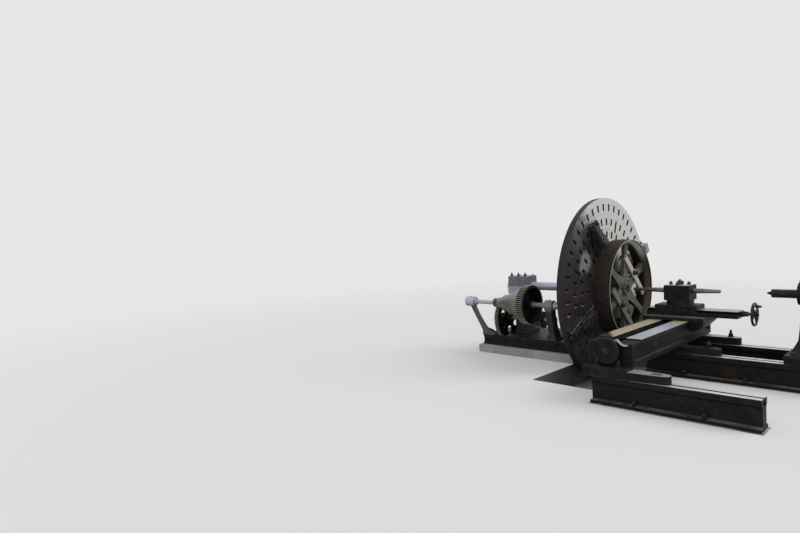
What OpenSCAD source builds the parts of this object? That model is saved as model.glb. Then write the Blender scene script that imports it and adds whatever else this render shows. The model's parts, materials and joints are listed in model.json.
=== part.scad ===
// Pit facing lathe: a slotted faceplate over a pit, with a pulley wheel clamped on it,
// a back-geared headstock on a raised plinth, a cross bed with a slide rest, and a tailstock.
// X runs along the spindle towards the tailstock, Y away from the operator, Z up.
// The origin is under the centre of the faceplate's working face, on the pit floor's underside.

/* [Levels] */
// Height of the spindle axis above the floor line
axis_h = 870; // [850:5:900]
// Height of the headstock's stone plinth above the floor line
plinth_rise = 100; // [80:5:110]
// Thickness of the stone raft under the pit
raft_t = 70; // [50:5:90]
// Gap between the faceplate's lowest point and the raft
pit_gap = 40; // [30:5:60]

/* [Faceplate] */
// Diameter of the faceplate
plate_d = 2200; // [2100:10:2250]
// Thickness of the faceplate
plate_t = 70; // [60:1:80]
// Width of the bolt slots
slot_w = 38; // [34:1:40]
// Length of the bolt slots
slot_l = 90; // [80:1:94]
// Middle radius of the outer ring of slots
ring1_r = 985; // [975:1:1000]
// Number of slots in the outer ring
ring1_n = 44; // [40:4:48]
// Middle radius of the second ring of slots
ring2_r = 812; // [800:1:820]
// Number of slots in the second ring
ring2_n = 40; // [36:4:44]
// Middle radius of the third ring of slots
ring3_r = 655; // [645:1:660]
// Number of slots in the third ring
ring3_n = 32; // [28:4:32]
// Middle radius of the inner ring of slots
ring4_r = 488; // [480:1:500]
// Number of slots in the inner ring
ring4_n = 16; // [12:4:20]
// Number of slots round the hub, for the clamp bolts
hub_slots_n = 8; // [4:4:8]
// Middle radius of the long slots
long_slot_r = 780; // [775:1:785]
// Length of the long slots
long_slot_l = 160; // [150:2:170]
// Number of long slots
long_slots_n = 4; // [2:2:4]
// Radius of the raised hub on the back of the faceplate
plate_hub_r = 190; // [170:5:210]
// Length of the raised hub on the back of the faceplate
plate_hub_l = 90; // [70:5:100]

/* [Work wheel] */
// Outer radius of the pulley wheel on the faceplate
wheel_r = 593; // [560:1:610]
// Width of the wheel's rim
wheel_w = 200; // [180:5:210]
// Thickness of the wheel's rim
wheel_rim_t = 26; // [20:1:34]
// Distance from the faceplate to the back of the rim
wheel_gap = 93; // [80:1:100]
// Number of arms
wheel_arms = 6; // [5:1:6]
// Turn of the arms about the spindle axis
arm_turn = 25; // [20:1:30]
// Width of an arm at the hub
arm_w_hub = 96; // [80:1:110]
// Width of an arm at the rim
arm_w_rim = 62; // [50:1:75]
// Thickness of an arm
arm_t = 44; // [36:1:52]
// Radius of the wheel's hub
wheel_hub_r = 118; // [105:1:130]
// Length of the wheel's hub
wheel_hub_l = 240; // [220:1:250]
// Bore radius of the wheel's hub
wheel_bore_r = 54; // [50:1:60]
// Radius of the ring that stands out in front of the hub
wheel_boss_r = 80; // [74:1:90]
// Length of that ring
wheel_boss_l = 34; // [24:2:40]
// Height of the crown in the middle of the wheel's rim
wheel_crown = 6; // [3:1:9]
// Turn of the four jaws about the spindle axis
jaw_turn = 25; // [22:1:28]
// Distance from the spindle axis to the inner end of a jaw's slide
jaw_slide_r0 = 480; // [460:5:500]
// Length of the three long slides
jaw_slide_l = 605; // [560:5:610]
// Length of the short slide
jaw_short_l = 400; // [380:5:420]
// Width of a jaw's slide
jaw_slide_w = 190; // [180:2:200]
// Height of a jaw's slide
jaw_slide_h = 50; // [46:1:54]
// Width of a jaw
jaw_w = 92; // [80:2:100]
// Height of the bearing block at the outer end of a long slide
jaw_end_h = 100; // [90:1:106]
// Drop from one step of a jaw to the next
jaw_step_h = 22; // [16:1:22]
// Length of a step of a jaw
jaw_step_l = 62; // [54:1:70]
// Radius of a jaw's screw
jaw_screw_r = 14; // [11:1:15]
// Distance of each clamp bar from the spindle axis
bar_offset = 250; // [235:1:265]
// Width of a clamp bar
bar_w = 70; // [60:1:80]
// Thickness of a clamp bar
bar_t = 26; // [22:1:30]
// Length of a clamp bar
bar_l = 660; // [620:5:700]
// How far a clamp bar is pushed along from its bolt
bar_shift = 50; // [40:2:60]
// Radius of the clamp bolts
bar_bolt_r = 16; // [12:0.5:17.5]

/* [Spindle and headstock] */
// Height of a bearing block below the spindle's axis
bearing_block_h = 100; // [90:5:110]
// Thickness of a pedestal's foot
pedestal_foot_t = 34; // [28:2:40]
// Radius of the spindle
spindle_r = 53; // [48:1:58]
// Distance from the faceplate's face back to the spindle's rear end
spindle_back = 1430; // [1410:5:1460]
// Rear bearing: distance of its front end from the faceplate's face
rear_bearing_x = 1070; // [1050:5:1090]
// Rear bearing: length along the spindle
rear_bearing_l = 320; // [300:5:330]
// Front bearing: distance of its front end from the faceplate's face
front_bearing_x = 210; // [200:5:230]
// Front bearing: length along the spindle
front_bearing_l = 200; // [180:5:220]
// Half width of the bearing blocks at the top
block_half_w = 120; // [110:1:130]
// Half width of the rear pedestal at the foot
rear_foot_half_w = 150; // [140:5:154]
// Half width of the front pedestal at the foot
front_foot_half_w = 230; // [210:5:240]
// Running clearance on the radius of each shaft
run_gap = 0.08; // [0.04:0.01:0.1]
// Clearance on the radius where a hub is keyed on its shaft
seat_gap = 0.04; // [0.02:0.01:0.06]
// Height of the headstock's base casting
base_h = 135; // [125:5:145]
// Half width of the base casting
base_half_w = 440; // [430:5:450]
// Distance of the base's front end from the faceplate's face
base_x0 = 290; // [280:5:310]
// Distance of the base's rear end from the faceplate's face
base_x1 = 1600; // [1590:5:1640]

/* [Gear train] */
// Module of the back gears
back_module = 8; // [7.9:0.05:8.05]
// Teeth of the pinion beside the cone pulley
cone_pinion_z = 13; // [12:1:14]
// Teeth of the large back gear
lay_gear_z = 74; // [71:1:75]
// Teeth of the bull gear at the large end of the cone pulley
bull_gear_z = 61; // [59:1:62]
// Module of the ring gear and its pinion
ring_module = 9; // [8.9:0.05:9.05]
// Teeth of the ring gear on the back of the faceplate
ring_gear_z = 125; // [122:1:126]
// Teeth of the pinion that drives the ring gear
drive_pinion_z = 16; // [15:1:18]
// Depth of the ring gear
ring_gear_w = 80; // [74:1:84]
// Radial thickness of the ring gear's rim behind the teeth
ring_gear_rim = 24; // [20:1:26]
// Drop from the spindle axis to the drive shaft
drive_drop = 190; // [180:1:200]
// Drop from the drive shaft to the back gear shaft
lay_drop = 230; // [222:1:236]
// Radius of the drive shaft and the back gear shaft
shaft_r = 28; // [25:1:32]
// Backlash of each gear at its pitch circle
backlash = 0.5; // [0.4:0.05:0.7]
// Face width of the back gear and its pinion
lay_gear_w = 60; // [54:1:64]
// Face width of the bull gear
bull_gear_w = 100; // [90:1:106]
// Distance of the bull gear's rear face from the faceplate's face
bull_x = 890; // [880:1:900]
// Distance of the end boss's rear face from the faceplate's face
boss_x = 1840; // [1820:5:1860]
// Length of the end boss
boss_l = 135; // [120:5:150]
// Radius of the drive shaft's bearings
boss_r = 66; // [60:1:72]
// Distance of the front drive bearing's rear face from the faceplate's face
drive_bearing_x = 600; // [590:5:610]
// Length of the front drive bearing
drive_bearing_l = 110; // [100:5:120]
// Length of a back gear shaft bearing
lay_bearing_l = 70; // [60:5:80]
// Radius of a back gear shaft bearing
lay_bearing_r = 56; // [50:1:60]
// Half width of the foot of a back gear shaft bearing
lay_foot_half = 90; // [84:1:96]
// Distance of the right back gear bearing's rear face from the faceplate's face
lay_right_x = 700; // [690:5:710]
// Distance from the drive shaft's axis to the inner end of its front bearing's foot
drive_foot_in = 190; // [170:5:210]
// Thickness of the feet of the shaft bearings
bearing_foot_t = 28; // [24:1:34]
// Thickness of the end bracket's web
bracket_web = 34; // [28:1:40]
// Length of the end bracket's foot
bracket_foot_l = 190; // [170:5:210]
// Thickness of the end bracket's foot
bracket_foot_t = 22; // [18:1:28]

/* [Cone pulley] */
// Radius of the smallest step
cone_r0 = 72; // [68:1:78]
// Growth of the radius from step to step
cone_dr = 38; // [34:1:40]
// Number of steps
cone_steps = 4; // [3:1:4]
// Width of a step
cone_step_w = 102; // [96:1:104]

/* [Rails] */
// Height of the bed rails
rail_h = 250; // [240:5:260]
// Width of a rail's top
rail_w = 150; // [140:2:160]
// Width of a rail's foot
rail_foot_w = 200; // [190:2:210]
// Thickness of a rail's foot flange
rail_foot_t = 30; // [24:1:36]
// Width of the slot in a rail's top
rail_slot_w = 30; // [26:1:34]
// Width of the slot's wide lower part
rail_tee_w = 62; // [56:1:66]
// Thickness of the lips beside the slot
rail_lip_t = 30; // [26:1:34]
// Height of the slot's wide lower part
rail_tee_h = 32; // [28:1:36]
// Depth of the hollow in a rail's sides
rail_waist = 22; // [16:1:26]
// Distance of the front rail's middle from the spindle axis
front_rail_y = 1700; // [1680:5:1720]
// Distance of the middle and rear rails from the spindle axis
bed_rail_y = 345; // [330:5:360]
// Front rail: where it starts, from the faceplate's face
front_rail_x0 = 650; // [640:5:660]
// Front rail: length
front_rail_l = 1370; // [1340:5:1400]
// Bed rails: where they start, from the faceplate's face
bed_rail_x0 = 600; // [590:5:620]
// Bed rails: length
bed_rail_l = 2500; // [2450:10:2600]

/* [Cross bed] */
// Distance of the cross bed's left side from the faceplate's face
cross_x0 = 570; // [565:1:590]
// Width of the cross bed
cross_w = 420; // [410:2:430]
// Height of the feet under the cross bed
cross_foot_h = 90; // [84:1:96]
// Height of the cross bed above its feet
cross_h = 222; // [214:1:230]
// Gap between the two ways
way_gap = 120; // [110:1:130]
// Thickness of the cross bed's walls
cross_wall = 44; // [38:1:50]
// Depth of the recess in the cross bed's sides
cross_recess = 20; // [12:1:24]
// Height of the flange along the foot of the cross bed's sides
cross_flange = 40; // [36:1:50]
// Thickness of the ways
way_t = 46; // [40:1:52]
// Where the cross bed ends in front of the spindle axis
cross_front = 1640; // [1620:5:1650]
// Where the cross bed ends behind the spindle axis
cross_back = 480; // [470:5:500]
// Where the machined ways end in front of the spindle axis
way_front = 1440; // [1420:5:1460]
// Height of the machined ways above the rough end
way_rise = 14; // [10:1:18]
// Reach of the clamp lugs beyond the cross bed's side
lug_reach = 350; // [320:5:360]
// Width of a clamp lug
lug_w = 150; // [140:2:160]
// Radius of the cross feed screw
screw_r = 22; // [18:1:26]
// Radius of the ratchet disc on the cross feed screw
disc_r = 120; // [110:1:124]
// Thickness of the ratchet disc
disc_t = 26; // [20:1:30]

/* [Slide rest] */
// Gap between sliding faces
slide_gap = 0.3; // [0.2:0.05:0.4]
// Width of the saddle across the spindle axis
saddle_w = 480; // [460:5:500]
// Distance of the saddle's left side from the faceplate's face
saddle_x0 = 505; // [500:1:515]
// Length of the saddle along the spindle axis
saddle_l = 632; // [610:2:640]
// Height of the saddle's table
saddle_h = 40; // [36:1:44]
// Length of the long slide bed
long_bed_l = 925; // [900:5:940]
// Height of the long slide bed
long_bed_h = 70; // [66:1:74]
// Width of the long slide bed
long_bed_w = 250; // [230:5:270]
// Distance of the top slide's left side from the faceplate's face
top_slide_x0 = 600; // [590:5:620]
// Length of the top slide
top_slide_l = 440; // [420:5:450]
// Height of the top slide
top_slide_h = 94; // [90:1:98]
// Distance of the tool block's left side from the faceplate's face
block_x0 = 695; // [680:5:710]
// Length of the tool block
block_l = 270; // [250:5:280]
// Width of the tool block
block_w = 230; // [210:5:240]
// Height of the tool block's top above the spindle axis
block_top = 66; // [60:1:72]
// Radius of the boring bar at its thick part
bar_r = 27; // [24:1:30]
// Radius of the boring bar's tip
bar_tip_r = 18; // [15:1:20]
// Distance of the boring bar's tip from the faceplate's face
bar_tip_x = 313; // [310:1:330]
// Length of the boring bar
boring_bar_l = 927; // [900:1:940]
// Radius of the slide rest's handwheel
handwheel_r = 125; // [110:1:130]
// Distance of the handwheel's middle from the faceplate's face
handwheel_x = 1553; // [1545:1:1565]

/* [Tailstock] */
// Distance of the tailstock's left side from the faceplate's face
tail_x0 = 1933; // [1920:1:1950]
// Length of the tailstock's head
tail_l = 420; // [400:5:440]
// Length of the tailstock's sole
tail_sole_l = 520; // [500:5:540]
// Height of the tailstock's sole
tail_sole_h = 80; // [70:1:90]
// Half width of the tailstock's head
tail_half_w = 95; // [88:1:105]
// Half width of the tailstock's body where it meets the sole
tail_foot_half = 330; // [300:5:350]
// Radius of the barrel
barrel_r = 44; // [40:1:48]
// Reach of the barrel out of the tailstock at rest
barrel_out = 225; // [210:1:235]
// Radius of the tailstock's handwheel
tail_wheel_r = 190; // [170:5:200]

/* [Hidden] */
$fn = 48;
eps = 0.01;

floor_h = raft_t + pit_gap + plate_d / 2 - axis_h;
plinth_z = floor_h + plinth_rise;
axis_z = floor_h + axis_h;
base_top = plinth_z + base_h;

// Gear centres
ring_a = ring_module * (ring_gear_z - drive_pinion_z) / 2;
drive_z = axis_z - drive_drop;
drive_y = -sqrt(ring_a * ring_a - drive_drop * drive_drop);
back_a = back_module * (cone_pinion_z + lay_gear_z) / 2;
lay_pinion_z = cone_pinion_z + lay_gear_z - bull_gear_z;
lay_z = drive_z - lay_drop;
lay_y = drive_y + sqrt(back_a * back_a - lay_drop * lay_drop);
lay_gear_r = back_module * (lay_gear_z + 2) / 2;
bull_gear_r = back_module * (bull_gear_z + 2) / 2;
ring_pitch_r = ring_module * ring_gear_z / 2;

// Jaws: running gap, half width and depth of the groove, end block, and height of the screw
jaw_seat = 0.3;
groove_half = 26;
groove_deep = 40;
slide_end_l = 80;
jaw_screw_z = jaw_slide_h - 20;

// Holes in the back gear's web
gear_holes = 6;

// Flare of the wheel's arms into hub and rim, and the lugs of its split hub
arm_flare = 34;
hub_lug_l = 70;
hub_lug_w = 56;
hub_split = 10;
wheel_bead_h = 12;

// Places along the spindle, behind the faceplate's face
axial_gap = 6;
back_face = -plate_t;
ring_x1 = back_face;
ring_x0 = ring_x1 - ring_gear_w;
drive_pinion_w = ring_gear_w - axial_gap * 2;
drive_pinion_x0 = ring_x0 + 2;
bull_x0 = -bull_x;
cone_x1 = bull_x0 - axial_gap;
cone_x0 = cone_x1 - cone_steps * cone_step_w;
cone_pinion_w = lay_gear_w + 16;
cone_pinion_x0 = cone_x0 - cone_pinion_w;
lay_gear_x0 = cone_pinion_x0 + 8;
lay_pinion_x0 = bull_x0 - 4;
lay_pinion_w = bull_gear_w + 8;
boss_x0 = -boss_x;
shaft_x0 = boss_x0 + 20;
drive_bearing_x0 = -drive_bearing_x;
drive_x1 = drive_pinion_x0 + drive_pinion_w + 2;
lay_left_x0 = lay_gear_x0 - 58 - lay_bearing_l;
lay_right_x0 = -lay_right_x;
lay_x0 = lay_left_x0 - 12;
lay_x1 = lay_right_x0 + lay_bearing_l + 12;

// Foundations
bed_stone_half = bed_rail_y + rail_foot_w / 2 + 20;
front_stone_half = rail_foot_w / 2 + 20;

// Cross bed
foot_z = floor_h + rail_h;
cross_z0 = foot_z + cross_foot_h;
cross_z1 = cross_z0 + cross_h;
cross_x1 = cross_x0 + cross_w;
cross_mid_x = cross_x0 + cross_w / 2;
screw_z = cross_z0 + cross_h * 0.66;

lug_share = 0.8;
lug_bolt_x = cross_x1 + lug_reach * 0.66;
lug_slot_l = 48;
lug_seat_t = 4;
lug_seat_r = 27;
hold_bolt_r = 12;
hold_head = 48;
hold_head_t = 22;
pad_bolt_x = 100;
bracket_half = 52;
screw_bracket_l = 22;
collar_l = 12;
disc_y0 = -cross_front - screw_bracket_l - 76;
lever_y0 = disc_y0 + disc_t + axial_gap;
lever_w = 18;

// Slide rest
saddle_z0 = cross_z1 + slide_gap;
saddle_z1 = saddle_z0 + saddle_h;
long_bed_z1 = saddle_z1 + long_bed_h;
top_z0 = long_bed_z1 + slide_gap;
top_z1 = top_z0 + top_slide_h;
block_z1 = axis_z + block_top;
dovetail_h = 30;
dovetail_half = long_bed_w / 2 - 24;
dovetail_cut = 16;
top_plate_t = 46;
side_gap = 6;
long_screw_z = long_bed_z1 - 28;
long_bed_x1 = saddle_x0 + long_bed_l;

// Tailstock
tail_z0 = foot_z + slide_gap;
tail_x1 = tail_x0 + tail_l;
tail_plug = 60;
tail_screw_r = 20;

// Colours
iron_dark = [0.12, 0.12, 0.13];
iron_worn = [0.42, 0.42, 0.43];
steel = [0.70, 0.71, 0.73];
plate_grey = [0.55, 0.56, 0.55];
wheel_brown = [0.27, 0.22, 0.20];
stone_pale = [0.62, 0.60, 0.55];
paint_blue = [0.45, 0.47, 0.53];

// Draws a profile whose plane is Y and Z, and extrudes it along X from x0
module along_x(x0, l) {
    translate([x0, 0, 0]) rotate([90, 0, 90]) linear_extrude(height = l) children();
}

// Draws a profile whose plane is X and Z, and extrudes it along Y from y0
module along_y(y0, l) {
    translate([0, y0 + l, 0]) rotate([90, 0, 0]) linear_extrude(height = l) children();
}

module rod_x(x0, l, y, z, r) {
    translate([x0, y, z]) rotate([0, 90, 0]) cylinder(h = l, r = r);
}

module rod_y(x, y0, l, z, r) {
    translate([x, y0 + l, z]) rotate([90, 0, 0]) cylinder(h = l, r = r);
}

// Share of a smooth S curve from 0 to 1
function ease(t) = t * t * (3 - 2 * t);

// Points of a side that sweeps in from half width a at height z0 to half width b at height z1
function swept_side(a, b, z0, z1, n = 8) =
    [for (i = [0:n]) let (t = i / n) [b + (a - b) * pow(1 - t, 2.2), z0 + (z1 - z0) * t]];

// The same points on the other side, from top to bottom
function mirrored(pts) = [for (i = [len(pts) - 1:-1:0]) [-pts[i][0], pts[i][1]]];

// Hexagon nut standing along Z
module nut_z(x, y, z, across, h) {
    translate([x, y, z]) cylinder(h = h, r = across / 2 / cos(30), $fn = 6);
}

// Involute function, in degrees, at radius r over base radius rb
function inv_deg(rb, r) = let (a = acos(min(1, rb / r))) tan(a) * 180 / PI - a;

// Outline of a spur gear; a negative play makes the wider cutter of an internal gear
function gear_outline(m, z, play, top, root) =
    let (
        rp = m * z / 2,
        rb = rp * cos(20),
        ra = rp + top * m,
        rf = rp - root * m,
        half = 90 / z - play / 2 / rp * 180 / PI,
        rs = [rf, max(rf + 0.05 * m, rb), rp, ra],
        angs = [for (r = rs) half + inv_deg(rb, rp) - inv_deg(rb, max(r, rb))]
    )
    [for (k = [0:z - 1]) each concat(
        [for (i = [0:3]) let (a = 360 * k / z - angs[i]) rs[i] * [cos(a), sin(a)]],
        [for (i = [3:-1:0]) let (a = 360 * k / z + angs[i]) rs[i] * [cos(a), sin(a)]])];

module gear(x0, w, y, z, m, teeth, phase) {
    translate([0, y, z]) along_x(x0, w) rotate(phase)
        polygon(gear_outline(m, teeth, backlash, 0.95, 1.2));
}

// Angles of the lines that join the gear centres
ring_dir = atan2(drive_z - axis_z, drive_y);
back_dir = atan2(lay_z - drive_z, lay_y - drive_y);

module headstock_foundation() {
    color(stone_pale)
    translate([-base_x1 - 40, -base_half_w - 60, 0])
        cube([base_x1 - base_x0 + 100, 2 * base_half_w + 120, plinth_z]);
}

// Stone under the two bed rails, with low rafts that tie the other piers to it
module bed_foundation() {
    pit_x0 = 60 - base_x0;
    tie_y0 = front_stone_half - front_rail_y;
    color(stone_pale) union() {
        translate([bed_rail_x0, -bed_stone_half, 0]) cube([bed_rail_l, 2 * bed_stone_half, floor_h]);
        translate([pit_x0, -bed_stone_half, 0]) cube([bed_rail_x0 - pit_x0 + 1, 2 * bed_stone_half, raft_t]);
        translate([front_rail_x0 - 20, tie_y0, 0]) cube([cross_w, 1 - bed_stone_half - tie_y0, raft_t]);
    }
}

module front_foundation() {
    color(stone_pale)
    translate([front_rail_x0 - 20, -front_rail_y - front_stone_half, 0])
        cube([front_rail_l + 40, 2 * front_stone_half, floor_h]);
}

module headstock_base() {
    well_r = lay_gear_r + 14;
    side = base_half_w - 16;
    l = base_x1 - base_x0;
    windows = 5;
    pitch = l / windows;
    color(iron_dark) difference() {
        union() {
            translate([-base_x1, -side, plinth_z]) cube([l, 2 * side, base_h]);
            translate([-base_x1, -base_half_w, base_top - 26]) cube([l, 2 * base_half_w, 26]);
            translate([-base_x1, -base_half_w, plinth_z]) cube([l, 2 * base_half_w, 24]);
        }
        for (k = [0:windows - 1]) for (s = [-1, 1])
            translate([-base_x1 + pitch * (k + 0.5), s * side, plinth_z + 66]) rotate([90, 0, 0])
                linear_extrude(height = 24, center = true) {
                    square([pitch - 110, 52], center = true);
                    for (d = [-1, 1]) translate([d * (pitch - 110) / 2, 0]) circle(d = 52, $fn = 24);
                }
        rod_x(lay_gear_x0 - 14, lay_gear_w + 28, lay_y, lay_z, well_r);
    }
}

// Bearing pedestal with a split bearing: the block stops at the shaft's axis
module pedestal(x0, l, y, z, r, top_half, foot_half, foot_z, neck_x0, neck_l) {
    flare = z - bearing_block_h;
    foot_top = foot_z + pedestal_foot_t;
    side = swept_side(foot_half - 24, top_half, foot_top, flare);
    difference() {
        union() {
            translate([0, y, 0]) {
                along_x(neck_x0, neck_l) polygon(concat(side, mirrored(side)));
                translate([neck_x0, -foot_half, foot_z]) cube([neck_l, 2 * foot_half, pedestal_foot_t]);
                translate([x0, -top_half, flare]) cube([l, 2 * top_half, bearing_block_h]);
            }
        }
        rod_x(x0 - 1, l + 2, y, z, r + run_gap);
    }
}

module bearing_cap(x0, l, y, z, r, half, rise) {
    studs = 3;
    difference() {
        union() {
            translate([x0 + 8, y - half, z]) cube([l - 16, 2 * half, 34]);
            intersection() {
                rod_x(x0 + 8, l - 16, y, z, rise);
                translate([x0, y - half, z]) cube([l, 2 * half, rise]);
            }
        }
        rod_x(x0 - 1, l + 2, y, z, r + run_gap);
    }
    for (k = [0:studs - 1]) for (side = [-1, 1]) {
        xs = x0 + l * (k + 0.5) / studs;
        ys = y + side * (half - 22);
        nut_z(xs, ys, z + 34, 30, 24);
        translate([xs, ys, z + 34]) cylinder(h = 42, r = 9);
    }
}

module rear_pedestal() {
    l = rear_bearing_l;
    x0 = -rear_bearing_x - l;
    color(paint_blue)
    pedestal(x0, l, 0, axis_z, spindle_r, block_half_w, rear_foot_half_w, base_top,
        -rear_bearing_x - 210, 210);
}

module front_pedestal() {
    l = front_bearing_l;
    x0 = -front_bearing_x - l;
    color(iron_dark)
    pedestal(x0, l, 0, axis_z, spindle_r, block_half_w, front_foot_half_w, base_top, x0, l - 80);
}

module bearing_caps() {
    color(paint_blue)
    bearing_cap(-rear_bearing_x - rear_bearing_l, rear_bearing_l, 0, axis_z, spindle_r,
        block_half_w, spindle_r + 40);
    color(iron_dark)
    bearing_cap(-front_bearing_x - front_bearing_l, front_bearing_l, 0, axis_z, spindle_r,
        block_half_w, spindle_r + 40);
}

module end_bracket() {
    y0 = drive_y;
    y1 = lay_y - lay_foot_half - axial_gap;
    xr = boss_x0 + boss_l - 40;
    xf = -base_x1 + bracket_foot_l;
    sweep = [for (i = [0:8]) let (t = i / 8)
        [xr + (xf - xr) * t, drive_z + (base_top + bracket_foot_t - drive_z) * (1 - pow(1 - t, 1.7))]];
    color(paint_blue) difference() {
        union() {
            rod_x(boss_x0, boss_l, drive_y, drive_z, boss_r);
            along_y(y0, bracket_web) polygon(concat([[boss_x0 + 10, drive_z]], sweep,
                [[xf, base_top], [-base_x1, base_top], [-base_x1, base_top + 60]]));
            translate([-base_x1, y0, base_top]) cube([bracket_foot_l, y1 - y0, bracket_foot_t]);
            along_x(-base_x1 + 70, 26) polygon([[y0 + 1, base_top + 1], [y1 - 20, base_top + 1],
                [y1 - 20, base_top + 40], [y0 + bracket_web - 1, base_top + 90]]);
        }
        rod_x(boss_x0 - 1, boss_l + 2, drive_y, drive_z, shaft_r + run_gap);
    }
}

module drive_shaft_bearing() {
    x0 = drive_bearing_x0;
    l = drive_bearing_l;
    half = boss_r - 4;
    y0 = 4 - base_half_w;
    y1 = drive_y + drive_foot_in;
    foot_top = base_top + bearing_foot_t;
    n = 8;
    outer = [for (i = [0:n]) let (t = i / n)
        [y1 + (drive_y + half - y1) * (1 - pow(1 - t, 2.4)), foot_top + (drive_z - foot_top) * t]];
    color(iron_dark) difference() {
        union() {
            along_x(x0 + 14, l - 28) polygon(concat([[y0, base_top], [y1, base_top]], outer,
                [[drive_y - half, drive_z], [y0, base_top + drive_foot_in / 2]]));
            translate([x0, y0, base_top]) cube([l, y1 - y0, bearing_foot_t]);
            rod_x(x0, l, drive_y, drive_z, boss_r);
        }
        rod_x(x0 - 1, l + 2, drive_y, drive_z, shaft_r + run_gap);
    }
}

module lay_shaft_bearings() {
    side = swept_side(lay_foot_half - 16, lay_bearing_r - 4, base_top + bearing_foot_t, lay_z);
    color(iron_dark)
    for (x0 = [lay_left_x0, lay_right_x0]) difference() {
        union() {
            translate([0, lay_y, 0]) {
                along_x(x0 + 10, lay_bearing_l - 20) polygon(concat(side, mirrored(side)));
                translate([x0, -lay_foot_half, base_top])
                    cube([lay_bearing_l, 2 * lay_foot_half, bearing_foot_t]);
            }
            rod_x(x0, lay_bearing_l, lay_y, lay_z, lay_bearing_r);
        }
        rod_x(x0 - 1, lay_bearing_l + 2, lay_y, lay_z, shaft_r + run_gap);
    }
}

// Rail section with a tee slot in its top
module rail(x0, l, y) {
    h = rail_h;
    t = rail_w / 2;
    f = rail_foot_w / 2;
    w = rail_w / 2 - rail_waist;
    s = rail_slot_w / 2;
    u = rail_tee_w / 2;
    lip = h - rail_lip_t;
    tee = lip - rail_tee_h;
    translate([0, y, floor_h]) along_x(x0, l) polygon([
        [-f, 0], [f, 0], [f, rail_foot_t], [w + 8, rail_foot_t], [w, rail_foot_t + 8],
        [w, tee - 8], [t, tee + 10], [t, h],
        [s, h], [s, lip], [u, lip], [u, tee], [-u, tee], [-u, lip], [-s, lip], [-s, h],
        [-t, h], [-t, tee + 10], [-w, tee - 8],
        [-w, rail_foot_t + 8], [-w - 8, rail_foot_t], [-f, rail_foot_t]]);
}

module front_rail() { color(iron_worn) rail(front_rail_x0, front_rail_l, -front_rail_y); }
module middle_rail() { color(iron_worn) rail(bed_rail_x0, bed_rail_l, -bed_rail_y); }
module rear_rail() { color(iron_worn) rail(bed_rail_x0, bed_rail_l, bed_rail_y); }

// A clamp lug seen from above: it tapers to a rounded nose round its bolt slot
module lug_outline(y) {
    nose = lug_w / 2 - 20;
    x1 = cross_x1 + lug_reach - nose;
    polygon(concat([[cross_x1 - 1, y - lug_w / 2]],
        [for (i = [0:10]) let (a = -90 + 18 * i) [x1 + nose * cos(a), y + nose * sin(a)]],
        [[cross_x1 - 1, y + lug_w / 2]]));
}

// The bolt slot of a clamp lug, with ends of radius r
module lug_slot(r) {
    square([lug_slot_l, 2 * r], center = true);
    for (s = [-1, 1]) translate([s * lug_slot_l / 2, 0]) circle(r = r, $fn = 32);
}

module cross_bed() {
    w = cross_w;
    g = way_gap / 2;
    len = cross_front + cross_back;
    color(iron_dark) difference() {
        union() {
            translate([cross_mid_x, 0, cross_z0]) along_y(-cross_front, len) polygon([
                [-w / 2, 0], [w / 2, 0], [w / 2, cross_flange], [w / 2 - cross_recess, cross_flange + 12],
                [w / 2 - cross_recess, cross_h - way_t - 12], [w / 2, cross_h - way_t],
                [w / 2, cross_h], [g, cross_h], [g, cross_h - way_t],
                [w / 2 - cross_wall, cross_h - way_t], [w / 2 - cross_wall, cross_wall],
                [-w / 2 + cross_wall, cross_wall], [-w / 2 + cross_wall, cross_h - way_t],
                [-g, cross_h - way_t], [-g, cross_h], [-w / 2, cross_h], [-w / 2, cross_h - way_t],
                [-w / 2 + cross_recess, cross_h - way_t - 12], [-w / 2 + cross_recess, cross_flange + 12],
                [-w / 2, cross_flange]]);
            for (y = [-cross_front, cross_back - cross_wall])
                translate([cross_x0, y, cross_z0]) cube([w, cross_wall, cross_h - way_t]);
            for (y = [-front_rail_y, -bed_rail_y, bed_rail_y])
                translate([cross_x0, y - rail_w / 2, foot_z]) cube([w, rail_w, cross_foot_h + eps]);
            for (y = [-front_rail_y, -bed_rail_y]) translate([0, 0, foot_z]) {
                linear_extrude(height = cross_foot_h * lug_share) lug_outline(y);
                translate([lug_bolt_x, y, 0])
                    linear_extrude(height = cross_foot_h * lug_share + lug_seat_t) lug_slot(lug_seat_r);
            }
            translate([cross_mid_x - bracket_half, -cross_front - screw_bracket_l, cross_z0])
                cube([2 * bracket_half, screw_bracket_l + 1, screw_z - cross_z0]);
            rod_y(cross_mid_x, -cross_front - screw_bracket_l, screw_bracket_l + 1, screw_z, bracket_half);
        }
        for (y = [-front_rail_y, -bed_rail_y])
            translate([lug_bolt_x, y, foot_z - 1])
                linear_extrude(height = cross_foot_h + 2) lug_slot(rail_slot_w / 2);
        translate([cross_x0 - 1, -cross_front - 1, cross_z1 - way_rise])
            cube([w + 2, cross_front - way_front + 1, way_rise + 1]);
        for (s = [-1, 1]) translate([cross_mid_x + s * pad_bolt_x, -front_rail_y, foot_z - 1])
            cylinder(h = cross_foot_h + 2, r = hold_bolt_r + 1);
        rod_y(cross_mid_x, -cross_front - screw_bracket_l - 1, cross_wall + screw_bracket_l + 2,
            screw_z, screw_r + run_gap);
        rod_y(cross_mid_x, cross_back - cross_wall - 1, cross_wall + 2, screw_z, screw_r + run_gap);
    }
}

// Square-headed bolt from a rail's slot up to a seat at height z1, with washer and nut
module hold_bolt(x, y, z1) {
    z0 = foot_z - rail_lip_t - slide_gap;
    translate([x, y, z0]) cylinder(h = z1 + 60 - z0, r = hold_bolt_r);
    translate([x - hold_head / 2, y - hold_head / 2, z0 - hold_head_t])
        cube([hold_head, hold_head, hold_head_t]);
    translate([x, y, z1]) cylinder(h = 6, r = 30);
    nut_z(x, y, z1 + 6, 44, 28);
}

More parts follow.
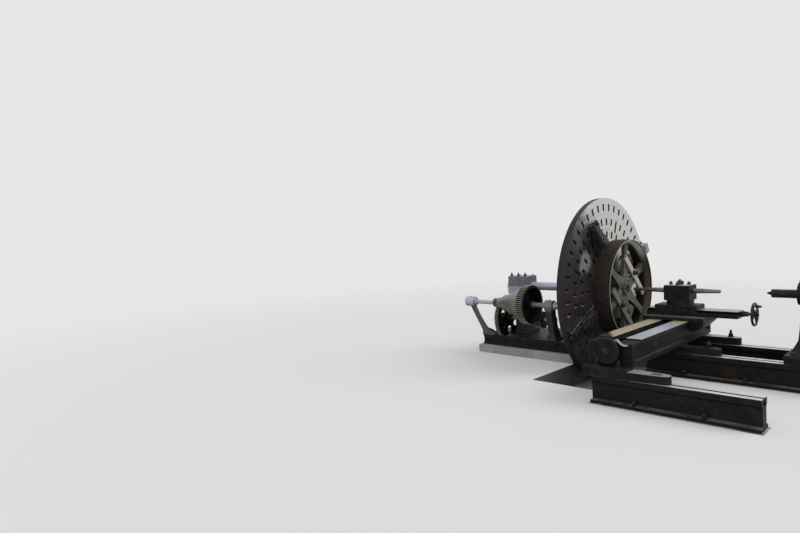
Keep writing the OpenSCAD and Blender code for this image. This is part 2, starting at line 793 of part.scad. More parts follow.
module holding_down_bolts() {
    z = floor_h + rail_foot_t;
    color(iron_dark) {
        hold_bolt(lug_bolt_x, -bed_rail_y, foot_z + cross_foot_h * lug_share + lug_seat_t);
        for (s = [-1, 1]) hold_bolt(cross_mid_x + s * pad_bolt_x, -front_rail_y, cross_z0 + eps);
        for (r = [[-front_rail_y, front_rail_x0, front_rail_l, 2],
            [-bed_rail_y, bed_rail_x0, bed_rail_l, 4], [bed_rail_y, bed_rail_x0, bed_rail_l, 4]])
            for (k = [0:r[3] - 1]) for (s = [-1, 1]) {
                x = r[1] + r[2] * (k + 0.7) / (r[3] + 0.4);
                y = r[0] + s * (rail_w / 2 + 7);
                translate([x, y, z]) cylinder(h = 6, r = 20);
                nut_z(x, y, z + 6, 30, 26);
                translate([x, y, z + 6]) cylinder(h = 38, r = 9);
            }
    }
}

module main_spindle() {
    collar_x = -front_bearing_x + axial_gap;
    color(steel) union() {
        rod_x(-spindle_back, spindle_back, 0, axis_z, spindle_r);
        rod_x(collar_x, back_face - plate_hub_l - collar_x, 0, axis_z, spindle_r + 30);
        rod_x(-spindle_back, spindle_back - rear_bearing_x - rear_bearing_l - axial_gap, 0, axis_z,
            spindle_r + 22);
    }
}

module slot_ring(r, n, w, l) {
    for (k = [0:n - 1]) rotate(360 * k / n) {
        translate([r - l / 2 + w / 2, -w / 2]) square([l - w, w]);
        for (s = [-1, 1]) translate([r + s * (l - w) / 2, 0]) circle(d = w, $fn = 16);
    }
}

module faceplate() {
    color(plate_grey) difference() {
        union() {
            translate([0, 0, axis_z]) along_x(back_face, plate_t) difference() {
                circle(d = plate_d, $fn = 180);
                rotate(180 / ring1_n) slot_ring(ring1_r, ring1_n, slot_w, slot_l);
                slot_ring(ring2_r, ring2_n, slot_w, slot_l);
                rotate(90 - 720 / ring2_n) slot_ring(long_slot_r, long_slots_n, slot_w, long_slot_l);
                slot_ring(ring3_r, ring3_n, slot_w, slot_l);
                slot_ring(ring4_r, ring4_n, slot_w, slot_l);
                rotate(45) slot_ring(bar_offset, hub_slots_n, slot_w, slot_l);
            }
            rod_x(back_face - plate_hub_l, plate_hub_l + eps, 0, axis_z, plate_hub_r);
        }
        rod_x(back_face - plate_hub_l - 1, plate_hub_l + plate_t + 2, 0, axis_z,
            spindle_r + seat_gap);
    }
}

module ring_gear() {
    outer = ring_pitch_r + 1.25 * ring_module + ring_gear_rim;
    color(iron_worn) translate([0, 0, axis_z]) along_x(ring_x0, ring_gear_w) difference() {
        circle(r = outer, $fn = 120);
        rotate(ring_dir) polygon(gear_outline(ring_module, ring_gear_z, -backlash, 1.2, 0.9));
    }
}

// Half width of a wheel arm at radius r: tapered, and flared into the hub and the rim
function arm_half(r, r0, r1) =
    let (t = (r - r0) / (r1 - r0))
    arm_w_hub / 2 + (arm_w_rim - arm_w_hub) / 2 * t + arm_flare * (pow(1 - t, 5) + 0.7 * pow(t, 9));

function arm_side(r0, r1, n = 14) =
    [for (i = [0:n]) let (r = r0 + (r1 - r0) * i / n) [r, arm_half(r, r0, r1)]];

// Radius where the arms meet the bead inside the rim
wheel_seat_r = wheel_r - wheel_rim_t - wheel_bead_h;

module work_wheel_rim() {
    inner = wheel_r - wheel_rim_t;
    xm = wheel_gap + wheel_w / 2;
    xe = wheel_gap + wheel_w;
    flat = arm_t / 2 + 4;
    color(wheel_brown) translate([0, 0, axis_z]) rotate([0, 90, 0]) rotate_extrude($fn = 120) polygon([
        [inner + 8, wheel_gap], [wheel_r - wheel_crown, wheel_gap], [wheel_r, xm],
        [wheel_r - wheel_crown, xe], [inner + 8, xe], [inner, xe - 40],
        [wheel_seat_r, xm + flat], [wheel_seat_r, xm - flat], [inner, wheel_gap + 40]]);
}

module work_wheel_arms() {
    xa = wheel_gap + wheel_w / 2 - arm_t / 2;
    side = arm_side(wheel_hub_r - 14, wheel_seat_r + 4);
    lug_x = wheel_hub_l - wheel_boss_l - hub_lug_l;
    lug_y = -wheel_hub_r - hub_lug_w + 30;
    color(wheel_brown) translate([0, 0, axis_z]) difference() {
        union() {
            intersection() {
                along_x(xa, arm_t) for (k = [0:wheel_arms - 1]) rotate(360 * k / wheel_arms + arm_turn)
                    polygon(concat(side, [for (i = [len(side) - 1:-1:0]) [side[i][0], -side[i][1]]]));
                rod_x(xa - 1, arm_t + 2, 0, 0, wheel_seat_r);
            }
            rod_x(0, wheel_hub_l - wheel_boss_l, 0, 0, wheel_hub_r);
            rod_x(0, wheel_hub_l, 0, 0, wheel_boss_r);
            for (s = [-1, 1]) translate([lug_x, lug_y, (s - 1) * hub_lug_w / 2 + s * hub_split / 2])
                cube([hub_lug_l, hub_lug_w, hub_lug_w]);
        }
        rod_x(-1, wheel_hub_l + 2, 0, 0, wheel_bore_r);
        translate([lug_x - 1, lug_y - 1, -hub_split / 2])
            cube([hub_lug_l + wheel_boss_l + 2, -lug_y, hub_split]);
        translate([lug_x + hub_lug_l / 2, lug_y + hub_lug_w / 2 - 4, -hub_lug_w - hub_split])
            cylinder(h = 2 * (hub_lug_w + hub_split), r = 12);
    }
}

// Places one of the four jaws: X runs out along the radius and Z away from the faceplate
module jaw_frame(k) {
    translate([0, 0, axis_z]) rotate([90 * k + jaw_turn, 0, 0]) rotate([90, 0, 90]) children();
}

// The second slide is shorter than the others and has no bearing block
function slide_length(k) = k == 1 ? jaw_short_l : jaw_slide_l;

module jaw_slides() {
    h = jaw_slide_h;
    w = jaw_slide_w / 2;
    g = groove_half;
    color(iron_dark) for (k = [0:3]) jaw_frame(k) difference() {
        union() {
            along_x(jaw_slide_r0, slide_length(k)) polygon([
                [-w, 0], [w, 0], [w, 24], [w - 26, 30], [w - 26, h - 8], [w - 34, h],
                [g, h], [g, h - groove_deep], [-g, h - groove_deep], [-g, h],
                [-w + 34, h], [-w + 26, h - 8], [-w + 26, 30], [-w, 24]]);
            if (k != 1) translate([jaw_slide_r0 + jaw_slide_l - slide_end_l, 34 - w, h - groove_deep - 1])
                cube([slide_end_l, 2 * w - 68, jaw_end_h - h + groove_deep + 1]);
        }
        for (x = [jaw_slide_r0 + 50, jaw_slide_r0 + slide_length(k) - 50]) for (s = [-1, 1])
            translate([x, s * (w - 13), -1]) cylinder(h = h, r = 9);
        rod_x(jaw_slide_r0 - 1, jaw_slide_l + 2, 0, jaw_screw_z, jaw_screw_r + run_gap);
    }
}

module stepped_jaws() {
    h = jaw_slide_h + jaw_seat;
    t = jaw_step_h;
    l = jaw_step_l;
    r0 = wheel_r + seat_gap;
    r1 = r0 + 4 * l;
    top = wheel_gap + 1.6 * jaw_step_h;
    color(iron_worn) for (k = [0:3]) jaw_frame(k) union() {
        along_y(-jaw_w / 2, jaw_w) polygon([
            [r0 - 62, h], [r1, h], [r1, top - 3 * t], [r0 + 3 * l, top - 3 * t],
            [r0 + 3 * l, top - 2 * t], [r0 + 2 * l, top - 2 * t], [r0 + 2 * l, top - t],
            [r0 + l, top - t], [r0 + l, top], [r0, top], [r0, wheel_gap], [r0 - 62, wheel_gap]]);
        translate([r0 - 50, 0.2 - groove_half, h - 24]) cube([r1 - r0 + 30, 2 * groove_half - 0.4, 25]);
        rod_x(r1 - 30, jaw_slide_r0 + slide_length(k) + 9 - r1 + 30, 0, jaw_screw_z, jaw_screw_r);
    }
}

// The clamp bars lie across the front of the arms
bar_x0 = wheel_gap + wheel_w / 2 + arm_t / 2;
bar_turn = -45;

module clamp_bars() {
    color(steel) translate([0, 0, axis_z]) for (s = [-1, 1]) rotate([bar_turn, 0, 0])
        difference() {
            translate([bar_x0, bar_shift - bar_l / 2, s * bar_offset - bar_w / 2])
                cube([bar_t, bar_l, bar_w]);
            translate([bar_x0 - 1, 0, s * bar_offset]) rotate([0, 90, 0])
                cylinder(h = bar_t + 2, r = bar_bolt_r + 1);
        }
}

module clamp_bolts() {
    color(iron_dark) translate([0, 0, axis_z]) for (s = [-1, 1]) rotate([bar_turn, 0, 0])
        translate([0, 0, s * bar_offset]) rotate([0, 90, 0]) {
            translate([0, 0, back_face]) cylinder(h = plate_t + bar_x0 + bar_t + 44, r = bar_bolt_r);
            translate([-29, -29, back_face - 24]) cube([58, 58, 24]);
            translate([0, 0, bar_x0 + bar_t]) cylinder(h = 6, r = 34);
            translate([0, 0, bar_x0 + bar_t + 6]) cylinder(h = 28, r = 29, $fn = 6);
        }
}

module drive_shaft() {
    color(steel) union() {
        rod_x(shaft_x0, drive_x1 - shaft_x0, drive_y, drive_z, shaft_r);
        rod_x(drive_bearing_x0 + drive_bearing_l + axial_gap, 30, drive_y, drive_z, shaft_r + 16);
        rod_x(boss_x0 + boss_l + axial_gap, 24, drive_y, drive_z, shaft_r + 16);
    }
}

module bull_gear() {
    r = back_module * bull_gear_z / 2;
    color(iron_dark) difference() {
        gear(bull_x0, bull_gear_w, drive_y, drive_z, back_module, bull_gear_z,
            back_dir);
        rod_x(bull_x0 + 26, bull_gear_w, drive_y, drive_z, r - 34);
        rod_x(bull_x0 - 1, bull_gear_w + 2, drive_y, drive_z, shaft_r + seat_gap);
    }
    color(iron_dark) difference() {
        rod_x(bull_x0 + 25, bull_gear_w - 25, drive_y, drive_z, 60);
        rod_x(bull_x0 - 1, bull_gear_w + 2, drive_y, drive_z, shaft_r + seat_gap);
    }
}

module drive_pinion() {
    color(iron_worn) difference() {
        gear(drive_pinion_x0, drive_pinion_w, drive_y, drive_z, ring_module, drive_pinion_z, ring_dir);
        rod_x(drive_pinion_x0 - 1, drive_pinion_w + 2, drive_y, drive_z, shaft_r + seat_gap);
    }
}

module cone_pulley() {
    crown = 3;
    color([0.66, 0.67, 0.68]) translate([0, drive_y, drive_z]) rotate([0, 90, 0]) rotate_extrude($fn = 96)
        polygon(concat(
            [[shaft_r + run_gap, cone_x0]],
            [for (k = [0:cone_steps - 1]) let (r = cone_r0 + k * cone_dr, x = cone_x0 + k * cone_step_w)
                each [[r, x], [r + crown, x + cone_step_w / 2], [r, x + cone_step_w]]],
            [[cone_r0 + (cone_steps - 1) * cone_dr - 16, cone_x1],
             [cone_r0 + (cone_steps - 1) * cone_dr - 16, cone_x1 - cone_step_w + 16],
             [shaft_r + 24, cone_x1 - cone_step_w + 16],
             [shaft_r + 24, cone_x1],
             [shaft_r + run_gap, cone_x1]]));
}

module cone_pinion() {
    color(iron_worn) difference() {
        gear(cone_pinion_x0, cone_pinion_w, drive_y, drive_z, back_module, cone_pinion_z, back_dir);
        rod_x(cone_pinion_x0 - 1, cone_pinion_w + 2, drive_y, drive_z, shaft_r + run_gap);
    }
}

module lay_shaft() {
    color(steel) rod_x(lay_x0, lay_x1 - lay_x0, lay_y, lay_z, shaft_r);
}

module lay_gear() {
    r = back_module * lay_gear_z / 2;
    color(iron_dark) difference() {
        union() {
            gear(lay_gear_x0, lay_gear_w, lay_y, lay_z, back_module, lay_gear_z,
                back_dir + 180 + 180 / lay_gear_z);
            rod_x(lay_gear_x0 - 8, lay_gear_w + 30, lay_y, lay_z, 70);
        }
        for (s = [0, 1]) difference() {
            rod_x(lay_gear_x0 + (s == 0 ? -9 : lay_gear_w - 20), s == 0 ? 29 : 60, lay_y, lay_z, r - 36);
            rod_x(lay_gear_x0 - 20, lay_gear_w + 60, lay_y, lay_z, 70);
        }
        for (k = [0:gear_holes - 1]) translate([0, lay_y, lay_z]) rotate([60 * k, 0, 0])
            rod_x(lay_gear_x0 - 20, lay_gear_w + 60, 0, (r - 36 + 70) / 2, 52);
        rod_x(lay_gear_x0 - 9, lay_gear_w + 40, lay_y, lay_z, shaft_r + seat_gap);
    }
}

module lay_pinion() {
    color(iron_dark) difference() {
        gear(lay_pinion_x0, lay_pinion_w, lay_y, lay_z, back_module, lay_pinion_z,
            back_dir + 180 + 180 / lay_pinion_z);
        rod_x(lay_pinion_x0 - 1, lay_pinion_w + 2, lay_y, lay_z, shaft_r + seat_gap);
    }
}

module cross_feed_screw() {
    y0 = disc_y0 + 9;
    color(steel) union() {
        rod_y(cross_mid_x, y0, cross_back + 20 - y0, screw_z, screw_r);
        rod_y(cross_mid_x, -cross_front - screw_bracket_l - axial_gap - collar_l, collar_l, screw_z,
            screw_r + 12);
    }
}

module ratchet_disc() {
    teeth = 48;
    color(iron_dark) difference() {
        translate([cross_mid_x, 0, screw_z]) along_y(disc_y0, disc_t) difference() {
            circle(r = disc_r, $fn = 96);
            for (k = [0:teeth - 1]) rotate(360 * k / teeth) translate([disc_r, 0])
                polygon([[1, -4], [-6, 0], [1, 4]]);
        }
        rod_y(cross_mid_x, disc_y0 - 1, 9, screw_z, disc_r - 18);
        rod_y(cross_mid_x, disc_y0 - 1, disc_t + 2, screw_z, screw_r + seat_gap);
    }
    color(iron_dark) difference() {
        rod_y(cross_mid_x, disc_y0, disc_t, screw_z, screw_r + 20);
        rod_y(cross_mid_x, disc_y0 - 1, disc_t + 2, screw_z, screw_r + seat_gap);
    }
}

module feed_lever() {
    line = disc_r * [[0.10, 0.22], [0.28, 0.48], [0.50, 0.70], [0.70, 0.82], [0.84, 0.82], [0.93, 0.72],
        [1.07, 0.57], [1.25, 0.49], [1.42, 0.48], [1.60, 0.50]];
    n = len(line) - 1;
    half = [for (i = [0:n]) disc_r * (0.12 - 0.07 * i / n)];
    hub = screw_r + 20;
    color(iron_worn) difference() {
        union() {
            rod_y(cross_mid_x, lever_y0, lever_w, screw_z, hub);
            translate([cross_mid_x, 0, screw_z]) along_y(lever_y0 + 3, lever_w - 6)
                polygon(concat([[-hub / 2, hub / 2]], [for (i = [0:n]) line[i] + [0, half[i]]],
                    [for (i = [n:-1:0]) line[i] - [0, half[i]]], [[hub / 2, -hub / 2]]));
        }
        rod_y(cross_mid_x, lever_y0 - 1, lever_w + 2, screw_z, screw_r + run_gap);
    }
}

module saddle() {
    nut_w = way_gap - 12;
    nut_l = saddle_w / 2;
    skirt_z0 = cross_z1 - way_t - 60;
    x1 = saddle_x0 + saddle_l;
    color(iron_dark) difference() {
        union() {
            translate([0, 0, saddle_z0]) along_x(saddle_x0, saddle_l) polygon([
                [-saddle_w / 2, 0], [saddle_w / 2, 0], [saddle_w / 2, saddle_h - 12],
                [saddle_w / 2 - 12, saddle_h], [-saddle_w / 2 + 12, saddle_h],
                [-saddle_w / 2, saddle_h - 12]]);
            translate([saddle_x0, -saddle_w / 2, skirt_z0])
                cube([cross_x0 - side_gap - saddle_x0, saddle_w, saddle_z0 - skirt_z0 + 1]);
            along_y(-saddle_w / 2, saddle_w) polygon([
                [cross_x1 + side_gap, skirt_z0], [cross_x1 + side_gap + 50, skirt_z0],
                [x1, saddle_z0 - 14], [x1, saddle_z0 + 1], [cross_x1 + side_gap, saddle_z0 + 1]]);
            translate([cross_mid_x - nut_w / 2, -nut_l / 2, screw_z - 40])
                cube([nut_w, nut_l, saddle_z0 - screw_z + 41]);
        }
        rod_y(cross_mid_x, -nut_l / 2 - 1, nut_l + 2, screw_z, screw_r + run_gap);
    }
}

module long_slide_bed() {
    w = long_bed_w / 2;
    h = long_bed_h;
    n = dovetail_half;
    color(iron_worn) difference() {
        union() {
            translate([0, 0, saddle_z1]) along_x(saddle_x0, long_bed_l) polygon([
                [-w, 0], [w, 0], [w, h - dovetail_h], [n - dovetail_cut, h - dovetail_h], [n, h],
                [-n, h], [-n + dovetail_cut, h - dovetail_h], [-w, h - dovetail_h]]);
            rod_x(long_bed_x1 - 1, 41, 0, long_screw_z, 30);
        }
        rod_x(long_bed_x1 - 200, 241, 0, long_screw_z, 16 + run_gap);
    }
}

module handwheel() {
    rim = 12;
    seat_r = handwheel_r - rim;
    spoke = 20;
    color(steel) translate([0, 0, long_screw_z]) {
        union() {
            rod_x(long_bed_x1 - 199, handwheel_x - long_bed_x1 + 199 + 30, 0, 0, 16);
            rod_x(long_bed_x1 + 46, 20, 0, 0, 26);
            translate([handwheel_x, 0, 0]) rotate([0, 90, 0]) rotate_extrude($fn = 72)
                translate([seat_r, 0]) circle(r = rim, $fn = 24);
            rod_x(handwheel_x - 18, 36, 0, 0, 28);
            for (k = [0:3]) rotate([90 * k + 30, 0, 0]) translate([handwheel_x, 0, spoke])
                cylinder(h = seat_r - spoke, r = 8);
            rotate([35, 0, 0]) translate([handwheel_x, 0, seat_r]) rotate([0, 90, 0])
                rotate_extrude($fn = 32) polygon([[0, 0], [9, 0], [9, 14], [12, 22], [14, 44], [13, 66],
                    [9, 78], [0, 80]]);
        }
    }
}

module top_slide() {
    w = long_bed_w / 2 + 6;
    n = dovetail_half + slide_gap;
    z0 = long_bed_z1 - dovetail_h + slide_gap;
    h = top_z1 - z0;
    g = dovetail_h;
    swivel_x = block_x0 + block_l / 2;
    color(iron_dark) union() {
        translate([0, 0, z0]) along_x(top_slide_x0, top_slide_l) polygon([
            [n - dovetail_cut, 0], [w, 0], [w, g + top_plate_t - 8], [w - 8, g + top_plate_t],
            [-w + 8, g + top_plate_t], [-w, g + top_plate_t - 8], [-w, 0], [-n + dovetail_cut, 0],
            [-n, g], [n, g]]);
        translate([swivel_x, 0, z0 + g + top_plate_t - 1])
            cylinder(h = h - g - top_plate_t + 1, r = block_l / 2 + 4, $fn = 96);
    }
}

module tool_block() {
    h = block_z1 - top_z1;
    half = block_w / 2;
    color(iron_worn) difference() {
        union() {
            translate([0, 0, top_z1]) along_x(block_x0, block_l) polygon([
                [-half, 0], [half, 0], [half, h - 14], [half - 14, h], [-half + 14, h], [-half, h - 14]]);
        }
        rod_x(block_x0 - 1, block_l + 2, 0, axis_z, bar_r + seat_gap);
    }
}

module tool_clamps() {
    xm = block_x0 + block_l / 2;
    color(steel) {
        translate([xm, 0, block_z1]) cylinder(h = 8, r = 34);
        nut_z(xm, 0, block_z1 + 8, 52, 34);
        translate([xm, 0, block_z1 + 8]) cylinder(h = 46, r = 14);
        for (d = [[-95, 0], [95, 0], [0, 75], [0, -75]]) {
            translate([xm + d[0] - 14, d[1] - 14, block_z1]) cube([28, 28, 26]);
            translate([xm + d[0], d[1], block_z1 + 25]) cylinder(h = 12, r = 11);
        }
    }
}

module boring_bar() {
    x1 = bar_tip_x + boring_bar_l;
    color(steel) translate([0, 0, axis_z]) rotate([0, 90, 0]) rotate_extrude($fn = 64) polygon([
        [0, bar_tip_x], [bar_tip_r, bar_tip_x], [bar_r, block_x0 - 60], [bar_r, block_x0 + block_l + 60],
        [bar_tip_r, x1], [0, x1]]);
}

module tailstock() {
    yb = bed_rail_y + rail_w / 2;
    sole_top = tail_z0 + tail_sole_h;
    throat = axis_z - tail_half_w * 0.6;
    side = swept_side(tail_foot_half, tail_half_w - 4, sole_top - 1, throat, 10);
    n = 8;
    lean = [for (i = [0:n]) let (t = i / n)
        [tail_x1 + 40 - 80 * ease(t), sole_top - 1 + (axis_z - sole_top) * t]];
    color(iron_dark) difference() {
        union() {
            along_x(tail_x0 - 50, tail_sole_l) polygon([
                [-yb, tail_z0], [yb, tail_z0], [yb, sole_top - 20], [yb - 20, sole_top],
                [-yb + 20, sole_top], [-yb, sole_top - 20]]);
            intersection() {
                along_x(tail_x0 - 60, tail_sole_l) polygon(concat(side, [[tail_half_w - 4, axis_z],
                    [-tail_half_w + 4, axis_z]], mirrored(side)));
                along_y(-yb, 2 * yb) polygon(concat([[tail_x0 - 20, sole_top - 1]], lean,
                    [[tail_x0 + 30, axis_z], [tail_x0 + 30, sole_top + 120]]));
            }
            rod_x(tail_x0 + 20, tail_l - 40, 0, axis_z, tail_half_w);
            for (x = [tail_x0, tail_x1 - 50]) rod_x(x, 50, 0, axis_z, tail_half_w + 12);
        }
        rod_x(tail_x0 - 1, tail_l - tail_plug + 1, 0, axis_z, barrel_r + run_gap);
        rod_x(tail_x0, tail_l + 2, 0, axis_z, tail_screw_r + run_gap);
    }
}

module tailstock_barrel() {
    x0 = tail_x0 - barrel_out;
    x1 = tail_x1 - tail_plug - 120;
    bore = tail_screw_r + 4;
    color(steel) translate([0, 0, axis_z]) rotate([0, 90, 0]) rotate_extrude($fn = 64) polygon([
        [0, x0 - 50], [12, x0 - 30], [22, x0], [barrel_r, x0], [barrel_r, x1],
        [bore, x1], [bore, x1 - 300], [0, x1 - 300]]);
}

module tailstock_handwheel() {
    rim = 15;
    x = tail_x1 + 70;
    color(iron_worn) translate([0, 0, axis_z]) union() {
        rod_x(tail_x1 - tail_plug - 270, tail_plug + 370, 0, 0, tail_screw_r);
        translate([x, 0, 0]) rotate([0, 90, 0]) rotate_extrude($fn = 72)
            translate([tail_wheel_r - rim, 0]) circle(r = rim, $fn = 24);
        rod_x(x - 22, 44, 0, 0, 36);
        for (k = [0:3]) rotate([90 * k + 20, 0, 0]) translate([x, 0, 30])
            cylinder(h = tail_wheel_r - rim - 30, r = 10);
    }
}

headstock_foundation();
bed_foundation();
front_foundation();
headstock_base();
rear_pedestal();
front_pedestal();
bearing_caps();
end_bracket();
drive_shaft_bearing();
lay_shaft_bearings();
front_rail();
middle_rail();
rear_rail();
cross_bed();
holding_down_bolts();
main_spindle();
faceplate();
ring_gear();
work_wheel_rim();
work_wheel_arms();
jaw_slides();
stepped_jaws();
clamp_bars();
clamp_bolts();
drive_shaft();
bull_gear();
drive_pinion();
cone_pulley();
cone_pinion();
lay_shaft();
lay_gear();
lay_pinion();
cross_feed_screw();
ratchet_disc();
feed_lever();
saddle();
long_slide_bed();
handwheel();
top_slide();
tool_block();
tool_clamps();
boring_bar();
tailstock();
tailstock_barrel();
tailstock_handwheel();
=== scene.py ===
# %% [markdown]
# # Dressing an old pit facing lathe
# A facing lathe turns work that is wide and short, such as a big pulley wheel. Its faceplate is
# larger than the machine is tall, so the lower part of the plate turns in a pit in the floor.
# The solids come from a CAD file and stay as they are. What is added here is the finish of every
# surface, and the small things that a fitter would put on: stones, threads, oil cups and screws.

# %% Load the fixed frame
import json
import math
import random

import bmesh
import bpy
from mathutils import Matrix, Vector


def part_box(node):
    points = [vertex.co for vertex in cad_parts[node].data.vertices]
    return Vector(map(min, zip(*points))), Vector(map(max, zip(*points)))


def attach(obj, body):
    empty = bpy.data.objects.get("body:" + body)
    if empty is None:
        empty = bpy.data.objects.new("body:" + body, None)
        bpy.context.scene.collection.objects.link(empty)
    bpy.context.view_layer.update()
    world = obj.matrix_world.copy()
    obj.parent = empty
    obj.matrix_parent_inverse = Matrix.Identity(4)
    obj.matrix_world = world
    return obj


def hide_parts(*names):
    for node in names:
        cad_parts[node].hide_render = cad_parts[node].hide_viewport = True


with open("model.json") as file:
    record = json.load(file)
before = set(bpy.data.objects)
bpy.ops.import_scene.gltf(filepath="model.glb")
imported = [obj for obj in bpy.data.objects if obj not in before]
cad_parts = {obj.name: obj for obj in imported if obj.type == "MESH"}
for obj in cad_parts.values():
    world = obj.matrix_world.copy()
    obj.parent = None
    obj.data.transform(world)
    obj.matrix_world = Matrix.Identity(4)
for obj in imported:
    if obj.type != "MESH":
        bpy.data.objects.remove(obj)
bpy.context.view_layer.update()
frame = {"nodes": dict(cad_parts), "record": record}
nodes = frame["nodes"]
record = frame["record"]

# %% [markdown]
# ## The camera
# The picture was taken at eye height from the operator's side, with a wide lens. The camera's three
# axes are worked out from a heading, a small downward pitch and a small roll, and put into one
# matrix.

# %% Camera
FLOOR_Z = 0.34
EYE_HEIGHT = 1.6
heading = math.radians(45.7985)
pitch = math.radians(2.8454)
roll = math.radians(-2.7772)

forward = Vector((-math.sin(heading) * math.cos(pitch), math.cos(heading) * math.cos(pitch),
                  -math.sin(pitch)))
level_right = forward.cross(Vector((0, 0, 1))).normalized()
level_up = level_right.cross(forward)
right = level_right * math.cos(roll) + level_up * math.sin(roll)
up = level_up * math.cos(roll) - level_right * math.sin(roll)

camera_data = bpy.data.cameras.new("camera")
camera_data.lens = 25.33
camera_data.sensor_width = 36
camera = bpy.data.objects.new("camera", camera_data)
bpy.context.scene.collection.objects.link(camera)
turn = Matrix((right, up, -forward)).transposed().to_4x4()
camera.matrix_world = Matrix.Translation((3.15, -6.6, FLOOR_Z + EYE_HEIGHT)) @ turn
bpy.context.scene.camera = camera
bpy.context.scene.view_settings.view_transform = "Standard"
print("camera at", tuple(round(v, 2) for v in camera.location))

# %% [markdown]
# ## Helpers for node trees
# Each helper makes one node, sets it, wires it and hands back its output. A value may be a plain
# number or the output of another node.


# %% Helpers for building node trees
def set_inputs(node, values):
    for label, value in values.items():
        node.inputs[label].default_value = value


def plug(tree, value, socket):
    if hasattr(value, "is_output"):
        tree.links.new(value, socket)
    else:
        socket.default_value = value


def math_node(tree, operation, a, b, clamp=False):
    node = tree.nodes.new("ShaderNodeMath")
    node.operation = operation
    node.use_clamp = clamp
    plug(tree, a, node.inputs[0])
    plug(tree, b, node.inputs[1])
    return node.outputs[0]


def times(tree, a, b):
    return math_node(tree, "MULTIPLY", a, b)


def vector_node(tree, operation, a, b=(0, 0, 0)):
    node = tree.nodes.new("ShaderNodeVectorMath")
    node.operation = operation
    plug(tree, a, node.inputs[0])
    plug(tree, b, node.inputs[1])
    return node.outputs["Value"]


def coordinates(tree, kind="Object"):
    return tree.nodes.new("ShaderNodeTexCoord").outputs[kind]


def part_of(tree, vector, axis):
    node = tree.nodes.new("ShaderNodeSeparateXYZ")
    tree.links.new(vector, node.inputs[0])
    return node.outputs[axis]


def noise_node(tree, scale, detail, roughness, vector=None, distortion=0.0):
    node = tree.nodes.new("ShaderNodeTexNoise")
    set_inputs(node, {"Detail": detail, "Roughness": roughness, "Distortion": distortion})
    plug(tree, scale, node.inputs["Scale"])
    if vector is None:
        vector = coordinates(tree)
    tree.links.new(vector, node.inputs["Vector"])
    return node.outputs["Fac"]


def mapped(tree, scale, location=(0, 0, 0)):
    node = tree.nodes.new("ShaderNodeMapping")
    set_inputs(node, {"Location": location, "Scale": scale})
    tree.links.new(coordinates(tree), node.inputs["Vector"])
    return node.outputs["Vector"]


def mix_node(tree, factor, below, above, kind="FLOAT"):
    node = tree.nodes.new("ShaderNodeMix")
    node.data_type = kind
    tree.links.new(factor, node.inputs["Factor"])
    plug(tree, below, node.inputs["A"])
    plug(tree, above, node.inputs["B"])
    return node.outputs["Result"]


def ring_noise(tree, radius, scale, detail):
    node = tree.nodes.new("ShaderNodeTexNoise")
    node.noise_dimensions = "1D"
    set_inputs(node, {"Scale": scale, "Detail": detail})
    tree.links.new(radius, node.inputs["W"])
    return node.outputs["Fac"]


def ramp_between(tree, value, low, high):
    node = tree.nodes.new("ShaderNodeMapRange")
    node.interpolation_type = "SMOOTHSTEP"
    tree.links.new(value, node.inputs["Value"])
    plug(tree, low, node.inputs["From Min"])
    plug(tree, high, node.inputs["From Max"])
    return node.outputs["Result"]


# %% [markdown]
# ## The stage
# The floor is a plain pale sheet at the shop's floor line, lowered by a hair so that the tops of
# the stones stand clear of it. It has an opening for the pit, with walls that go down to the
# underside of the foundation, so the plate is seen to run below the floor. The pit's walls and
# bottom are painted dark grey as painted shade in the pit. Far from the machine the sheet takes on
# the tone of the sky, so no horizon shows. None of this is part of the machine.

# %% Floor and pit
PIT_LOW = Vector((-0.23, -1.39, 0.0))
PIT_HIGH = Vector((0.60, 1.16, FLOOR_Z))
STAGE_REACH = 30.0
SHEET_DROP = 0.003
SKY_TONE = 0.80
FLOOR_LIFT = 0.17


def mesh_object(name, bm):
    mesh = bpy.data.meshes.new(name)
    bm.to_mesh(mesh)
    bm.free()
    thing = bpy.data.objects.new(name, mesh)
    bpy.context.scene.collection.objects.link(thing)
    return thing


def make_floor():
    bm = bmesh.new()
    level = FLOOR_Z - SHEET_DROP
    pit = [(PIT_LOW.x, PIT_LOW.y), (PIT_HIGH.x, PIT_LOW.y), (PIT_HIGH.x, PIT_HIGH.y), (PIT_LOW.x, PIT_HIGH.y)]
    inner = [bm.verts.new((x, y, level)) for x, y in pit]
    outer = [bm.verts.new((math.copysign(STAGE_REACH, x), math.copysign(STAGE_REACH, y), level))
             for x, y in pit]
    bottom = [bm.verts.new((x, y, PIT_LOW.z)) for x, y in pit]
    for k in range(4):
        n = (k + 1) % 4
        bm.faces.new((outer[k], outer[n], inner[n], inner[k]))
        wall = bm.faces.new((inner[k], inner[n], bottom[n], bottom[k]))
        wall.material_index = 1
    bm.faces.new(bottom).material_index = 1
    bmesh.ops.recalc_face_normals(bm, faces=bm.faces)
    return mesh_object("stage_floor", bm)


def start_material(name, roughness):
    material = bpy.data.materials.new(name)
    material.use_nodes = True
    shader = material.node_tree.nodes["Principled BSDF"]
    shader.inputs["Roughness"].default_value = roughness
    return material, material.node_tree, shader


def floor_material():
    material, tree, shader = start_material("stage_pale", 0.9)
    shader.inputs["Specular IOR Level"].default_value = 0.0
    fade = ramp_between(tree, vector_node(tree, "LENGTH", coordinates(tree)), 4.0, 15.0)
    tone = mix_node(tree, fade, (0.56, 0.56, 0.555, 1), (0, 0, 0, 1), "RGBA")
    tree.links.new(tone, shader.inputs["Base Color"])
    glow = math_node(tree, "ADD", times(tree, fade, SKY_TONE - FLOOR_LIFT), FLOOR_LIFT)
    camera_ray = tree.nodes.new("ShaderNodeLightPath").outputs["Is Camera Ray"]
    shader.inputs["Emission Color"].default_value = (1, 1, 1, 1)
    tree.links.new(times(tree, camera_ray, glow), shader.inputs["Emission Strength"])
    return material


